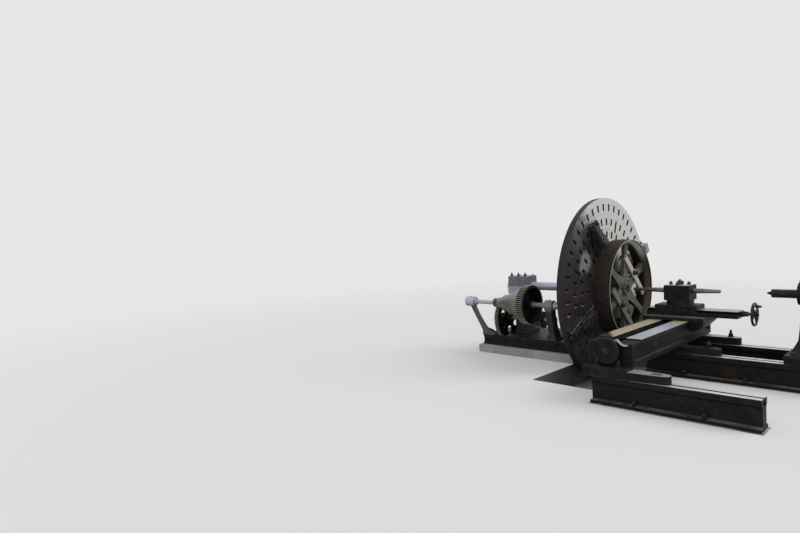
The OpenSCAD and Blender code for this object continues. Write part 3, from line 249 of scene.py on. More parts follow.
def pit_shade_material():
    material, tree, shader = start_material("stage_pit_shade", 0.95)
    # painted shade: the pit's walls and bottom are a dark grey that stands in for the shade in the pit
    shader.inputs["Base Color"].default_value = (0.16, 0.155, 0.15, 1)
    return material


floor = make_floor()
floor.data.materials.append(floor_material())
floor.data.materials.append(pit_shade_material())

# %% [markdown]
# ## The light
# The real shop is lit by tall windows behind the machine and to its right. Here the same is done
# softly: an even pale world, a very soft sun from behind on the right, and a weaker one from the
# front so that the black castings keep their shape. The camera and mirror-like surfaces see the
# plain sky tone.

# %% World and lamps
world = bpy.data.worlds.new("world")
world.use_nodes = True
bpy.context.scene.world = world
tree = world.node_tree
sky = tree.nodes["Background"]
set_inputs(sky, {"Color": (0.95, 0.97, 1.0, 1), "Strength": 0.62})
seen_sky = tree.nodes.new("ShaderNodeBackground")
set_inputs(seen_sky, {"Color": (SKY_TONE, SKY_TONE, SKY_TONE, 1), "Strength": 1.0})
rays = tree.nodes.new("ShaderNodeLightPath").outputs
either = math_node(tree, "MAXIMUM", rays["Is Camera Ray"], rays["Is Glossy Ray"])
either = math_node(tree, "MAXIMUM", either, rays["Is Transmission Ray"])
choose = tree.nodes.new("ShaderNodeMixShader")
tree.links.new(either, choose.inputs["Fac"])
tree.links.new(sky.outputs[0], choose.inputs[1])
tree.links.new(seen_sky.outputs[0], choose.inputs[2])
tree.links.new(choose.outputs[0], tree.nodes["World Output"].inputs["Surface"])


def soft_sun(name, toward, strength, spread):
    data = bpy.data.lights.new(name, "SUN")
    data.energy = strength
    data.angle = math.radians(spread)
    lamp = bpy.data.objects.new(name, data)
    bpy.context.scene.collection.objects.link(lamp)
    lamp.matrix_world = Vector(toward).to_track_quat("Z", "Y").to_matrix().to_4x4()


soft_sun("window_behind", (0.62, 0.42, 0.66), 1.35, 40)
soft_sun("fill_front", (0.35, -0.75, 0.55), 0.55, 70)

# %% [markdown]
# ## Shared effects as node groups
# Every finish on this machine is built from a few effects: the grain of a casting, wear on the
# edges, dust on what faces up, oil and rust in patches. Each effect is one node group with named
# sockets. A material then only says how much of each it wants.
#
# ### Edge wear
# Paint and dirt go first from corners that people touch. The Bevel node gives the normal that a
# rounded corner would have. Where it turns away from the true normal there is an edge, and a
# noise breaks the line up, since real wear is never even.


# %% Starting a group, and the group for edge wear
def new_group(name, inputs, outputs):
    group = bpy.data.node_groups.new(name, "ShaderNodeTree")
    for label, value in inputs:
        socket = group.interface.new_socket(label, in_out="INPUT", socket_type="NodeSocketFloat")
        socket.default_value = value
    for label in outputs:
        group.interface.new_socket(label, in_out="OUTPUT", socket_type="NodeSocketFloat")
    return group, group.nodes.new("NodeGroupInput").outputs, group.nodes.new("NodeGroupOutput").inputs


edge_wear, enter, leave = new_group("edge wear", [("Reach", 0.005)], ["Mask"])
rounded = edge_wear.nodes.new("ShaderNodeBevel")
rounded.samples = 6
edge_wear.links.new(enter["Reach"], rounded.inputs["Radius"])
true_normal = edge_wear.nodes.new("ShaderNodeNewGeometry").outputs["Normal"]
agree = vector_node(edge_wear, "DOT_PRODUCT", rounded.outputs["Normal"], true_normal)
line = ramp_between(edge_wear, math_node(edge_wear, "SUBTRACT", 1.0, agree), 0.03, 0.2)
chips = ramp_between(edge_wear, noise_node(edge_wear, 26.0, 5.0, 0.65), 0.40, 0.62)
edge_wear.links.new(times(edge_wear, line, chips), leave["Mask"])

# %% [markdown]
# ### Casting grain
# Iron cast in sand is never smooth. There are slow swells over a hand's width, and a fine grain
# that shows only where light grazes it. Both go into one height. A third noise, in between, is the
# mask for a second tone of colour.

# %% Casting grain group
casting, enter, leave = new_group("casting grain", [], ["Height", "Mottle"])
swell = times(casting, noise_node(casting, 6.0, 3.0, 0.5), 0.7)
grain = times(casting, noise_node(casting, 240.0, 3.0, 0.6), 0.3)
casting.links.new(math_node(casting, "ADD", swell, grain), leave["Height"])
mottle = ramp_between(casting, noise_node(casting, 13.8, 6.0, 0.68), 0.35, 0.68)
casting.links.new(mottle, leave["Mottle"])

# %% [markdown]
# ### Dust and stains
# Dust settles where a surface looks up, so the group reads the object's own normal. Oil and rust
# come in patches of two sizes: a slow noise says where, and a quicker one gives the ragged rim.

# %% Dust and stain groups
dust, enter, leave = new_group("settled dust", [("Reach", 0.7)], ["Mask"])
looks_up = ramp_between(dust, part_of(dust, coordinates(dust, "Normal"), "Z"), 0.35, 0.95)
patchy = ramp_between(dust, noise_node(dust, 14.0, 6.0, 0.6), 0.25, 0.75)
amount = times(dust, times(dust, looks_up, patchy), enter["Reach"])
dust.links.new(amount, leave["Mask"])

stains, enter, leave = new_group("stains", [("Scale", 3.0), ("Share", 0.5)], ["Mask"])
slow = noise_node(stains, enter["Scale"], 2.0, 0.5, distortion=0.6)
quick = noise_node(stains, times(stains, enter["Scale"], 9.0), 6.0, 0.7)
level = math_node(stains, "ADD", times(stains, slow, 0.65), times(stains, quick, 0.35))
start = math_node(stains, "SUBTRACT", 0.72, times(stains, enter["Share"], 0.4))
stop = math_node(stains, "ADD", start, 0.09)
stains.links.new(ramp_between(stains, level, start, stop), leave["Mask"])

# %% [markdown]
# ### Machined faces
# A slideway is planed flat and bright on a casting that stays black. The mask asks two things: the
# surface looks straight up, and it lies above a given height. A fine noise says where it is scuffed.

# %% Machined face group
machined, enter, leave = new_group("machined face", [("Level", 0.5)], ["Mask", "Scuffs"])
flat = ramp_between(machined, part_of(machined, coordinates(machined, "Normal"), "Z"), 0.80, 0.97)
height_now = part_of(machined, coordinates(machined), "Z")
high = math_node(machined, "GREATER_THAN", height_now, enter["Level"])
machined.links.new(times(machined, flat, high), leave["Mask"])
scuffed = ramp_between(machined, noise_node(machined, 90.0, 6.0, 0.75), 0.35, 0.7)
machined.links.new(scuffed, leave["Scuffs"])

# %% [markdown]
# ## Materials
# A small class keeps the trees readable: it starts a Principled shader, mixes one colour over
# another by a mask, and wires roughness, metal and bump. The shader itself stays in the material.


# %% A small material bench
class Finish:
    def __init__(self, name, colour, roughness, metallic=0.0):
        self.material, self.tree, self.shader = start_material(name, roughness)
        self.colour = self.value_colour(colour)
        self.rough = roughness
        self.metal = metallic

    def value_colour(self, colour):
        node = self.tree.nodes.new("ShaderNodeRGB")
        node.outputs[0].default_value = (*colour, 1)
        return node.outputs[0]

    def group(self, group, **values):
        node = self.tree.nodes.new("ShaderNodeGroup")
        node.node_tree = group
        set_inputs(node, values)
        return node.outputs

    def mask(self, group, **values):
        return self.group(group, **values)["Mask"]

    def math(self, operation, a, b):
        return math_node(self.tree, operation, a, b)

    def times(self, a, b):
        return times(self.tree, a, b)

    def inverse(self, value):
        return math_node(self.tree, "SUBTRACT", 1.0, value)

    def ramp(self, value, low, high):
        return ramp_between(self.tree, value, low, high)

    def noise(self, scale, detail, roughness, **more):
        return noise_node(self.tree, scale, detail, roughness, **more)

    def along(self, axis):
        return part_of(self.tree, coordinates(self.tree), axis)

    def facing(self, axis):
        return part_of(self.tree, coordinates(self.tree, "Normal"), axis)

    def radius_about(self, y, z):
        return vector_node(self.tree, "LENGTH", mapped(self.tree, (0, 1, 1), (0, -y, -z)))

    def over(self, mask, colour, rough, share=1.0, metal=None):
        factor = math_node(self.tree, "MULTIPLY", mask, share, clamp=True)
        self.colour = mix_node(self.tree, factor, self.colour, self.value_colour(colour), "RGBA")
        self.rough = mix_node(self.tree, factor, self.rough, rough)
        if metal is not None:
            self.metal = mix_node(self.tree, factor, self.metal, metal)

    def stain(self, scale, share, *look):
        self.over(self.mask(stains, Scale=scale, Share=share), *look)

    def done(self, height, strength, distance):
        self.tree.links.new(self.colour, self.shader.inputs["Base Color"])
        plug(self.tree, self.rough, self.shader.inputs["Roughness"])
        plug(self.tree, self.metal, self.shader.inputs["Metallic"])
        bump = self.tree.nodes.new("ShaderNodeBump")
        set_inputs(bump, {"Strength": strength, "Distance": distance})
        self.tree.links.new(height, bump.inputs["Height"])
        self.tree.links.new(bump.outputs["Normal"], self.shader.inputs["Normal"])
        return self.material


# %% [markdown]
# ### Castings
# The black castings carry old paint under oil and dust. The blue-grey ones are a later repaint of
# the rear bearing. Both use the same steps with other colours: mottle, stains, dust, worn edges.
# `top` is the planed face, where there is one: its height, its colour, and how much of it shows.

# %% Cast and painted finishes
DUST = (0.095, 0.085, 0.072)
RUST = (0.050, 0.026, 0.016)
BARE_IRON = (0.26, 0.25, 0.235)
OIL = (0.008, 0.007, 0.006)
BLACK = (0.0065, 0.006, 0.0057)
BLACK_LIGHT = (0.015, 0.0135, 0.012)
BRIGHT = (0.80, 0.82, 0.87)
OLD_BLUE = (0.33, 0.35, 0.43)


def start_casting(name, colour, light, metallic, rough, rust_share):
    finish = Finish(name, colour, rough, metallic)
    grain_node = finish.group(casting)
    finish.over(grain_node["Mottle"], light, rough + 0.1)
    finish.stain(4.5, rust_share, RUST, 0.8, 0.6)
    finish.stain(2.1, 0.4, OIL, 0.30, 0.7)
    return finish, grain_node["Height"]


def end_casting(finish, height, dust_reach, wear_share, wear_colour=BARE_IRON, shine=0.17):
    finish.shader.inputs["Specular IOR Level"].default_value = shine
    finish.over(finish.mask(dust, Reach=dust_reach), DUST, 0.9)
    finish.over(finish.mask(edge_wear), wear_colour, 0.38, wear_share, 0.7)
    return finish.done(height, 0.35, 0.004)


def casting_finish(name, colour, light, metallic, rough, dust_reach, rust_share, wear_share, top=None):
    finish, height = start_casting(name, colour, light, metallic, rough, rust_share)
    if top:
        level_z, top_colour, share = top
        planed = finish.group(machined, Level=level_z)
        finish.over(planed["Mask"], top_colour, 0.30, share, 0.75)
        marks = finish.times(planed["Mask"], planed["Scuffs"])
        finish.over(marks, (0.20, 0.18, 0.16), 0.5, 0.45 * share)
    return end_casting(finish, height, dust_reach, wear_share)


def two_tone_finish(name, pale, dark, change_z):
    finish, height = start_casting(name, pale, tuple(1.2 * c for c in pale), 0.05, 0.45, 0.25)
    uneven = finish.times(finish.noise(9.0, 5.0, 0.6), 0.10)
    pale_part = finish.ramp(finish.math("ADD", finish.along("Z"), uneven), change_z, change_z + 0.10)
    finish.over(finish.inverse(pale_part), dark, 0.5, 0.95)
    return end_casting(finish, height, 0.3, 0.7, BARE_IRON, 0.4)


# Rows: slot, colour, light, metallic, rough, dust, rust, wear
finishes = {
    name: casting_finish(name, *look)
    for name, *look in (
        ("iron_black", BLACK, BLACK_LIGHT, 0.1, 0.42, 0.30, 0.30, 0.6),
        ("iron_worn", (0.045, 0.041, 0.038), (0.085, 0.078, 0.070), 0.5, 0.42, 0.25, 0.40, 0.9),
        ("paint_blue", OLD_BLUE, (0.42, 0.43, 0.50), 0.0, 0.45, 0.35, 0.20, 0.4))}
node_finishes = {"holding_down_bolts": finishes["iron_black"]}
# Rows: node, material, pale, dark, height of the change
for node, name, *look in (
        ("rear_pedestal", "rear_bearing_paint", OLD_BLUE, (0.022, 0.020, 0.019), 1.05),
        ("end_bracket", "end_bracket_paint", (0.44, 0.46, 0.53), (0.055, 0.052, 0.055), 0.98),
        ("drive_shaft_bearing", "drive_bearing_iron", (0.19, 0.19, 0.21), (0.018, 0.016, 0.015), 0.97)):
    node_finishes[node] = two_tone_finish(name, *look)
# Rows: node, material, metallic, rough, dust, rust, wear, planed face
for node, name, *look in (
        ("long_slide_bed", "planed_slide", 0.2, 0.40, 0.1, 0.20, 0.8, (1.011, (0.40, 0.41, 0.44), 0.9)),
        ("saddle", "planed_saddle", 0.2, 0.42, 0.1, 0.25, 0.8, (0.9405, (0.42, 0.42, 0.43), 0.75)),
        ("tool_block", "planed_block", 0.2, 0.40, 0.1, 0.20, 0.8, (1.2735, (0.78, 0.78, 0.76), 0.9)),
        ("tailstock", "tailstock_iron", 0.1, 0.45, 0.3, 0.35, 0.6)):
    node_finishes[node] = casting_finish(name, BLACK, BLACK_LIGHT, *look)

# %% [markdown]
# ### The rails
# A rail is bright on its planed top, black on its sides, and grey with swept-up dust on its foot.

# %% Rail finishes
RAIL_TOP = FLOOR_Z + 0.25
SKIM = 0.0015
for rail in ("front_rail", "middle_rail", "rear_rail"):
    finish, height = start_casting("planed_" + rail, BLACK, BLACK_LIGHT, 0.1, 0.45, 0.35)
    foot = finish.math("LESS_THAN", finish.along("Z"), FLOOR_Z + 0.06)
    foot_top = finish.times(foot, finish.ramp(finish.facing("Z"), 0.3, 0.9))
    swept = finish.ramp(finish.noise(6.0, 5.0, 0.6), 0.25, 0.65)
    finish.over(finish.times(foot_top, swept), (0.16, 0.15, 0.135), 0.85, 0.85)
    finish.over(finish.mask(machined, Level=RAIL_TOP - SKIM), BRIGHT, 0.30, 0.95, 0.6)
    node_finishes[rail] = end_casting(finish, height, 0.25, 0.75)

# %% [markdown]
# ### The cross bed
# The two ways of the cross bed have seen different lives. The left one is tan with varnish and old
# oil, and black towards its front corner. The right one is rubbed pale and bluish, and yellow
# near the saddle. In front of them the casting goes on as rough black iron. The lugs that clamp it
# down on the front rail are worn pale on top.

# %% Cross bed finish
BED_FOOT = 0.09
BED_DEPTH = 0.222
WAY_Z = RAIL_TOP + BED_FOOT + BED_DEPTH
FEED_X = 0.78
LUG_TOP_Z = RAIL_TOP + 0.071
finish, height = start_casting("cross_bed_iron", BLACK, BLACK_LIGHT, 0.1, 0.45, 0.4)
ways = finish.group(machined, Level=WAY_Z - SKIM)
spot_x = finish.along("X")
spot_y = finish.along("Y")
left_way = finish.math("LESS_THAN", spot_x, FEED_X)
on_left = finish.times(ways["Mask"], left_way)
on_right = finish.times(ways["Mask"], finish.inverse(left_way))
finish.over(on_left, (0.50, 0.42, 0.31), 0.5, 0.95, 0.15)
finish.over(on_right, (0.60, 0.66, 0.76), 0.34, 0.97, 0.5)
finish.over(finish.times(on_right, finish.ramp(spot_y, -0.46, -0.34)), (0.50, 0.45, 0.20), 0.45, 0.9, 0.3)
finish.over(finish.times(ways["Mask"], ways["Scuffs"]), (0.24, 0.21, 0.17), 0.55, 0.35)
slant = finish.times(finish.math("ADD", spot_y, 1.50), 0.6)
corner = finish.math("ADD", finish.math("SUBTRACT", spot_x, 0.58), slant)
ragged = finish.times(finish.noise(12.0, 5.0, 0.6), 0.05)
# the left way turns black towards its front corner
dark_front_corner = finish.inverse(finish.ramp(finish.math("ADD", corner, ragged), 0.17, 0.23))
finish.over(finish.times(on_left, dark_front_corner), (0.02, 0.018, 0.016), 0.35, 0.95)
beside = finish.times(finish.math("GREATER_THAN", spot_x, 0.992), finish.math("LESS_THAN", spot_y, -1.0))
on_lugs = finish.times(finish.mask(machined, Level=LUG_TOP_Z - SKIM), beside)
finish.over(on_lugs, (0.36, 0.35, 0.31), 0.5, 0.9, 0.4)
node_finishes["cross_bed"] = end_casting(finish, height, 0.12, 0.75)

# %% [markdown]
# ### Bright steel
# Shafts, screws and the handwheel were machined and then handled for a century. The base is a grey
# metal with brown and black stains. The bump is a fine noise that is quick along the shafts and
# slow across them, so that it reads as turning marks.


# %% Worn steel
def steel_finish(name, colour, rough, metallic, brown=0.5, black=0.25):
    finish = Finish(name, colour, rough, metallic)
    lines = finish.noise(700.0, 3.0, 0.6, vector=mapped(finish.tree, (1.0, 0.08, 0.08)))
    cloudy = finish.ramp(finish.noise(7.0, 5.0, 0.6), 0.35, 0.7)
    finish.over(cloudy, tuple(0.72 * c for c in colour), rough + 0.1)
    finish.stain(5.0, brown, (0.16, 0.115, 0.075), 0.6, 0.7, 0.3)
    finish.stain(2.3, black, (0.035, 0.03, 0.026), 0.4, 0.8)
    finish.over(finish.mask(edge_wear, Reach=0.003), (0.6, 0.6, 0.6), 0.3, 0.5)
    return finish.done(lines, 0.25, 0.0006)


finishes["steel_worn"] = steel_finish("steel_worn", (0.46, 0.46, 0.47), 0.34, 0.85)
# Rows: node, material, colour, rough, metallic, brown, black
for node, name, *look in (
        ("main_spindle", "spindle_steel", (0.52, 0.54, 0.63), 0.36, 0.45, 0.25, 0.1),
        ("drive_shaft", "shaft_steel", (0.48, 0.48, 0.52), 0.38, 0.45, 0.4, 0.1),
        ("handwheel", "handwheel_steel", (0.030, 0.029, 0.029), 0.28, 0.6, 0.2, 0.3),
        ("boring_bar", "bar_round_steel", (0.20, 0.19, 0.18), 0.4, 0.7, 0.4, 0.3),
        ("tool_clamps", "screw_steel", (0.07, 0.065, 0.06), 0.4, 0.6, 0.4, 0.4),
        ("feed_lever", "lever_steel", (0.60, 0.61, 0.63), 0.28, 0.7, 0.15, 0.1)):
    node_finishes[node] = steel_finish(name, *look)

# %% [markdown]
# ### Jaws, cone and barrel
# The jaws and their slides are black. Where they stand far out at upper right they are painted
# pale as a painted highlight of the window light. The cone pulley and the tailstock's barrel are
# painted brighter on what looks up, as a painted highlight.


# %% Finishes of the jaws, the cone and the barrel
def jaw_finish(name, colour, light):
    finish, height = start_casting(name, colour, light, 0.2, 0.42, 0.35)
    far_right = finish.ramp(finish.along("Y"), 0.60, 0.72)
    # painted highlight: the jaw far out at upper right is painted pale where the window light falls
    window_lit_patch = finish.times(far_right, finish.ramp(finish.along("Z"), 1.30, 1.40))
    finish.over(window_lit_patch, (0.36, 0.38, 0.42), 0.4, 0.85, 0.2)
    return end_casting(finish, height, 0.15, 1.0, (0.50, 0.50, 0.49), 0.3)


node_finishes["jaw_slides"] = jaw_finish("jaw_slide_iron", BLACK, BLACK_LIGHT)
node_finishes["stepped_jaws"] = jaw_finish("jaw_iron", (0.030, 0.028, 0.026), (0.065, 0.06, 0.055))
cone, height = start_casting("cone_iron", (0.13, 0.12, 0.105), (0.21, 0.195, 0.17), 0.3, 0.42, 0.4)
# painted highlight: the upward faces of the cone are painted paler
cone.over(cone.ramp(cone.facing("Z"), 0.15, 0.85), (0.36, 0.36, 0.38), 0.4, 0.8, 0.4)
node_finishes["cone_pulley"] = end_casting(cone, height, 0.0, 0.8)
barrel, height = start_casting("barrel_steel", (0.016, 0.016, 0.020), (0.035, 0.035, 0.045), 0.4, 0.3, 0.2)
# painted highlight: a pale bluish line along the top of the barrel
barrel.over(barrel.ramp(barrel.facing("Z"), 0.80, 0.97), (0.42, 0.44, 0.54), 0.3, 0.9, 0.6)
node_finishes["tailstock_barrel"] = end_casting(barrel, height, 0.0, 0.6)

# %% [markdown]
# ### Gears
# Each gear is black with old grease, and only the tips of its teeth are rubbed bright. The tips are
# found by their distance from the gear's own axis, so the same steps serve all five.

# %% Gear finishes
AXIS_Z = 1.21
DRIVE_Y = -0.452206
DRIVE_Z = 1.02
LAY_Y = -0.191047
LAY_Z = 0.79
TIP_DEPTH = 0.007
# Rows: node, axis across, axis height, radius at the tips
for node, y, z, tip in (
        ("bull_gear", DRIVE_Y, DRIVE_Z, 0.2516), ("cone_pinion", DRIVE_Y, DRIVE_Z, 0.0596),
        ("drive_pinion", DRIVE_Y, DRIVE_Z, 0.0806), ("lay_gear", LAY_Y, LAY_Z, 0.3036),
        ("lay_pinion", LAY_Y, LAY_Z, 0.1116)):
    finish, height = start_casting("gear_" + node, BLACK, BLACK_LIGHT, 0.3, 0.42, 0.3)
    tips = finish.ramp(finish.radius_about(y, z), tip - TIP_DEPTH, tip - 0.3 * TIP_DEPTH)
    finish.over(tips, (0.36, 0.33, 0.29), 0.38, 0.85, 0.6)
    node_finishes[node] = end_casting(finish, height, 0.2, 0.4)

# %% [markdown]
# ### The faceplate
# A faceplate is turned on its own spindle, so it shows fine rings about its middle. The rings come
# from a noise in one dimension, driven by the distance from the axis. The upper right part is a
# painted highlight, pale as the window light falls on it. Down and to the left the plate is painted
# brown-black as shade, and its middle and upper left carry a painted shadow of the wheel, partly
# oil that was thrown off the work. The upward faces in the slots are painted pale as lit, there is
# a paler patch at the left, and the rim and the back are rough and dark.

# %% Turned plate
WHEEL_SHADOW_AND_OIL = (0.016, 0.014, 0.013)
SLOTS_END = 1.08
PLATE_SHINE = 0.3
plate = Finish("plate_iron", (0.027, 0.0235, 0.021), 0.45, 0.2)
radius = plate.radius_about(0.0, AXIS_Z)
cloud = plate.math("SUBTRACT", plate.noise(2.6, 6.0, 0.62, distortion=0.4), 0.5)
# painted light and shade: pale towards the upper right where the window light falls, dark towards the lower
# left
toward = vector_node(plate.tree, "DOT_PRODUCT", coordinates(plate.tree), (0, 0.62, 0.78))
light_and_shade_sweep = plate.math("ADD", toward, plate.times(cloud, 0.9))
plate.over(plate.ramp(light_and_shade_sweep, 0.80, 1.25), (0.115, 0.11, 0.10), 0.5)
plate.over(plate.ramp(light_and_shade_sweep, 1.08, 1.52), (0.62, 0.64, 0.60), 0.5)
wide_rings = plate.ramp(ring_noise(plate.tree, radius, 38.0, 5.0), 0.45, 0.75)
plate.over(wide_rings, (0.11, 0.10, 0.09), 0.55, 0.22)
plate.stain(3.4, 0.35, (0.085, 0.062, 0.047), 0.7, 0.30)
plate.stain(9.0, 0.3, (0.085, 0.072, 0.06), 0.65, 0.25)


def patch(y, z, reach, raggedness):
    uneven = plate.math("ADD", plate.radius_about(y, z), plate.times(cloud, raggedness))
    return plate.inverse(plate.ramp(uneven, 0.55 * reach, reach))


# painted shadow of the wheel, partly oil: dark patches at the middle and upper left
for y, z, reach, raggedness in ((0.0, AXIS_Z, 0.52, 0.5), (-0.47, AXIS_Z + 0.62, 0.24, 0.3),
                                (-0.36, AXIS_Z + 0.46, 0.28, 0.3)):
    plate.over(patch(y, z, reach, raggedness), WHEEL_SHADOW_AND_OIL, 0.36, 0.92)
plate.over(patch(-0.56, AXIS_Z + 0.34, 0.17, 0.3), (0.30, 0.29, 0.275), 0.5, 0.7)
front = plate.ramp(plate.facing("X"), 0.2, 0.7)
plate.over(plate.inverse(front), (0.026, 0.021, 0.018), 0.6, 0.97)
# painted highlight: the upward faces in the slots are painted pale as lit
ledge = plate.ramp(plate.facing("Z"), 0.75, 0.97)
lit_slot_ledges = plate.times(ledge, plate.math("LESS_THAN", radius, SLOTS_END))
plate.over(lit_slot_ledges, (0.30, 0.29, 0.27), 0.6, 0.85)
plate.over(plate.mask(edge_wear, Reach=0.004), (0.34, 0.34, 0.32), 0.4, 0.45)
plate.shader.inputs["Specular IOR Level"].default_value = PLATE_SHINE
finishes["plate_iron"] = plate.done(ring_noise(plate.tree, radius, 420.0, 3.0), 0.3, 0.0006)

# %% [markdown]
# ### The pulley wheel
# The wheel is a raw casting, brown-black outside. Its front edge and the inside of the rim have
# been turned and show pale, and the upper part of the inside is painted near white as a painted
# highlight of the window light. The arms are grey-green, and their rounded edges are painted pale,
# partly as wear and partly as a painted highlight. The clamp bars across them are yellowed steel,
# darker on their lower half.

# %% Wheel finishes
RIM_INSIDE = 0.572
wheel, height = start_casting("wheel_rim_iron", (0.015, 0.0115, 0.0105), (0.032, 0.024, 0.021),
                              0.1, 0.55, 0.45)
front_side = wheel.along("X")
edge_face = wheel.times(wheel.ramp(wheel.facing("X"), 0.3, 0.9), wheel.ramp(front_side, 0.285, 0.291))
wheel.over(edge_face, (0.46, 0.44, 0.37), 0.45, 0.9, 0.3)
inside = wheel.math("LESS_THAN", wheel.radius_about(0.0, AXIS_Z), RIM_INSIDE)
# painted highlight: the upper part of the rim's inside is painted near white where window light falls
window_lit_inner_top = wheel.times(inside, wheel.ramp(wheel.along("Z"), AXIS_Z + 0.28, AXIS_Z + 0.50))
turned_lip = wheel.ramp(front_side, 0.19, 0.24)
wheel.over(wheel.times(inside, turned_lip), (0.105, 0.086, 0.066), 0.5, 0.85)
wheel.over(wheel.times(window_lit_inner_top, turned_lip), (0.85, 0.80, 0.67), 0.5, 0.92, 0.0)
node_finishes["work_wheel_rim"] = end_casting(wheel, height, 0.10, 0.7, (0.45, 0.43, 0.37))
# painted highlight, partly wear: the rounded edges of the arms are painted pale
arms, height = start_casting("wheel_arm_iron", (0.062, 0.060, 0.050), (0.15, 0.145, 0.12), 0.1, 0.5, 0.35)
finishes["wheel_iron"] = end_casting(arms, height, 0.15, 1.0, (0.62, 0.60, 0.52), 0.3)

bars = Finish("bar_steel", (0.47, 0.44, 0.35), 0.5, 0.2)
bars.stain(6.0, 0.5, (0.22, 0.18, 0.12), 0.6, 0.7)
diagonal = bars.math("ADD", bars.along("Y"), bars.along("Z"))
bars.over(bars.math("LESS_THAN", diagonal, AXIS_Z), (0.11, 0.10, 0.085), 0.5, 0.85)
bars.over(bars.mask(edge_wear, Reach=0.004), (0.60, 0.58, 0.50), 0.35, 0.8)
node_finishes["clamp_bars"] = bars.done(bars.noise(60.0, 4.0, 0.6), 0.3, 0.001)

# %% [markdown]
# ### Stone
# The foundation is dressed stone, grey and a little brown, with a rough pitched face. A slow noise
# shifts the tone within a block, a fine one gives the grain, and oil has run into it near the
# machine.

# %% Dressed stone
stone = Finish("stone", (0.30, 0.285, 0.255), 0.86)
stone.over(stone.ramp(stone.noise(2.2, 5.0, 0.6), 0.35, 0.7), (0.42, 0.40, 0.37), 0.9)
stone.over(stone.ramp(stone.noise(70.0, 4.0, 0.7), 0.55, 0.75), (0.18, 0.17, 0.15), 0.9, 0.6)
stone.stain(1.6, 0.5, (0.07, 0.06, 0.05), 0.6, 0.8)
finishes["stone"] = stone.done(stone.noise(24.0, 8.0, 0.7), 0.6, 0.012)
print("finishes", sorted(finishes), "and", len(node_finishes), "for single nodes")

# %% [markdown]
# ## Finishing the CAD nodes
# The solids arrive with sharp corners. No casting has those, and it is the thin bright line along
# a rounded edge that makes iron look heavy. A Weld modifier joins the loose triangles, a planar
# Decimate takes the inner edges out of flat faces, and a Bevel then rounds what is left. The
# modifiers leave the node's own mesh as it is.


# %% Soft edges and materials for every node
def soften(thing, width):
    weld = thing.modifiers.new("weld", "WELD")
    weld.merge_threshold = 0.00002
    flat_faces = thing.modifiers.new("flat faces", "DECIMATE")
    flat_faces.decimate_type = "DISSOLVE"
    flat_faces.angle_limit = math.radians(0.6)
    bevel = thing.modifiers.new("rounded edges", "BEVEL")
    bevel.width = width
    bevel.segments = 2
    bevel.limit_method = "ANGLE"
    bevel.angle_limit = math.radians(35)


EDGE_WIDTHS = {
    0.0008: "ring_gear bull_gear drive_pinion cone_pinion lay_gear lay_pinion",
    0.001: "handwheel tailstock_handwheel",
    0.0015: "ratchet_disc",
    0.002: "holding_down_bolts clamp_bolts drive_shaft cone_pulley lay_shaft tool_clamps boring_bar "
           "tailstock_barrel",
    0.0025: "faceplate",
    0.003: "bearing_caps front_rail middle_rail rear_rail main_spindle work_wheel_rim jaw_slides "
           "stepped_jaws clamp_bars feed_lever long_slide_bed top_slide",
    0.004: "cross_bed saddle tool_block",
    0.005: "end_bracket drive_shaft_bearing lay_shaft_bearings",
    0.006: "headstock_base",
    0.008: "rear_pedestal front_pedestal work_wheel_arms tailstock",
}
width_of = {name: width for width, names in EDGE_WIDTHS.items() for name in names.split()}
slot_of = {row["node"]: row["material_slot"] for row in record["subparts"]}
for name, thing in nodes.items():
    thing.data.materials.clear()
    thing.data.materials.append(node_finishes.get(name) or finishes[slot_of[name]])
    if name in width_of:
        soften(thing, width_of[name])
print("nodes dressed:", len(nodes))

# %% [markdown]
# ## Foundation of dressed stones
# The CAD part gives each foundation as one plain block. Masons would have laid it in courses of
# large stones, with the joints of one course over the middle of the stones below. Each stone is a
# box with bevelled edges. The stones stand in place of the plain blocks and keep to their outlines.

# %% Foundations
JOINT = 0.0006
STONE_LENGTH = 0.62
STONE_HEIGHT = 0.22
STONE_EDGE = 0.008
WIDEST_STONE = 0.7
RAFT_Z = 0.07


def edges_at(verts):
    return list({edge for vert in verts for edge in vert.link_edges})


def bevel_edges(bm, edges, offset, segments):
    bmesh.ops.bevel(bm, geom=edges, offset=offset, segments=segments, profile=0.5, affect="EDGES",
                    material=-1)


def add_box(bm, low, high, bevel=0.0):
    made = bmesh.ops.create_cube(bm, size=1.0)["verts"]
    middle = (Vector(low) + Vector(high)) / 2
    size = Vector(high) - Vector(low)
    for vert in made:
        vert.co = middle + Vector(vert.co[i] * size[i] for i in range(3))
    if bevel > 0:
        bevel_edges(bm, edges_at(made), bevel, 2)


def course_of_stones(bm, low, high, shift, seed):
    rng = random.Random(seed)
    along = 0 if high[0] - low[0] >= high[1] - low[1] else 1
    across = 1 - along
    length = high[along] - low[along]
    count = max(1, round(length / STONE_LENGTH))
    cuts = [low[along] + length * (k + shift * (k > 0)) / (count + shift) for k in range(count)]
    middle = (low[across] + high[across]) / 2 + rng.uniform(-0.04, 0.04)
    bands = [low[across], high[across]]
    if high[across] - low[across] > WIDEST_STONE:
        bands.insert(1, middle)
    for first, last in zip(cuts, cuts[1:] + [high[along]]):
        for near, far in zip(bands, bands[1:]):
            a, b = list(low), list(high)
            a[along], b[along] = first + (JOINT if first > low[along] else 0), last
            a[across], b[across] = near + (JOINT if near > low[across] else 0), far
            add_box(bm, a, b, STONE_EDGE)


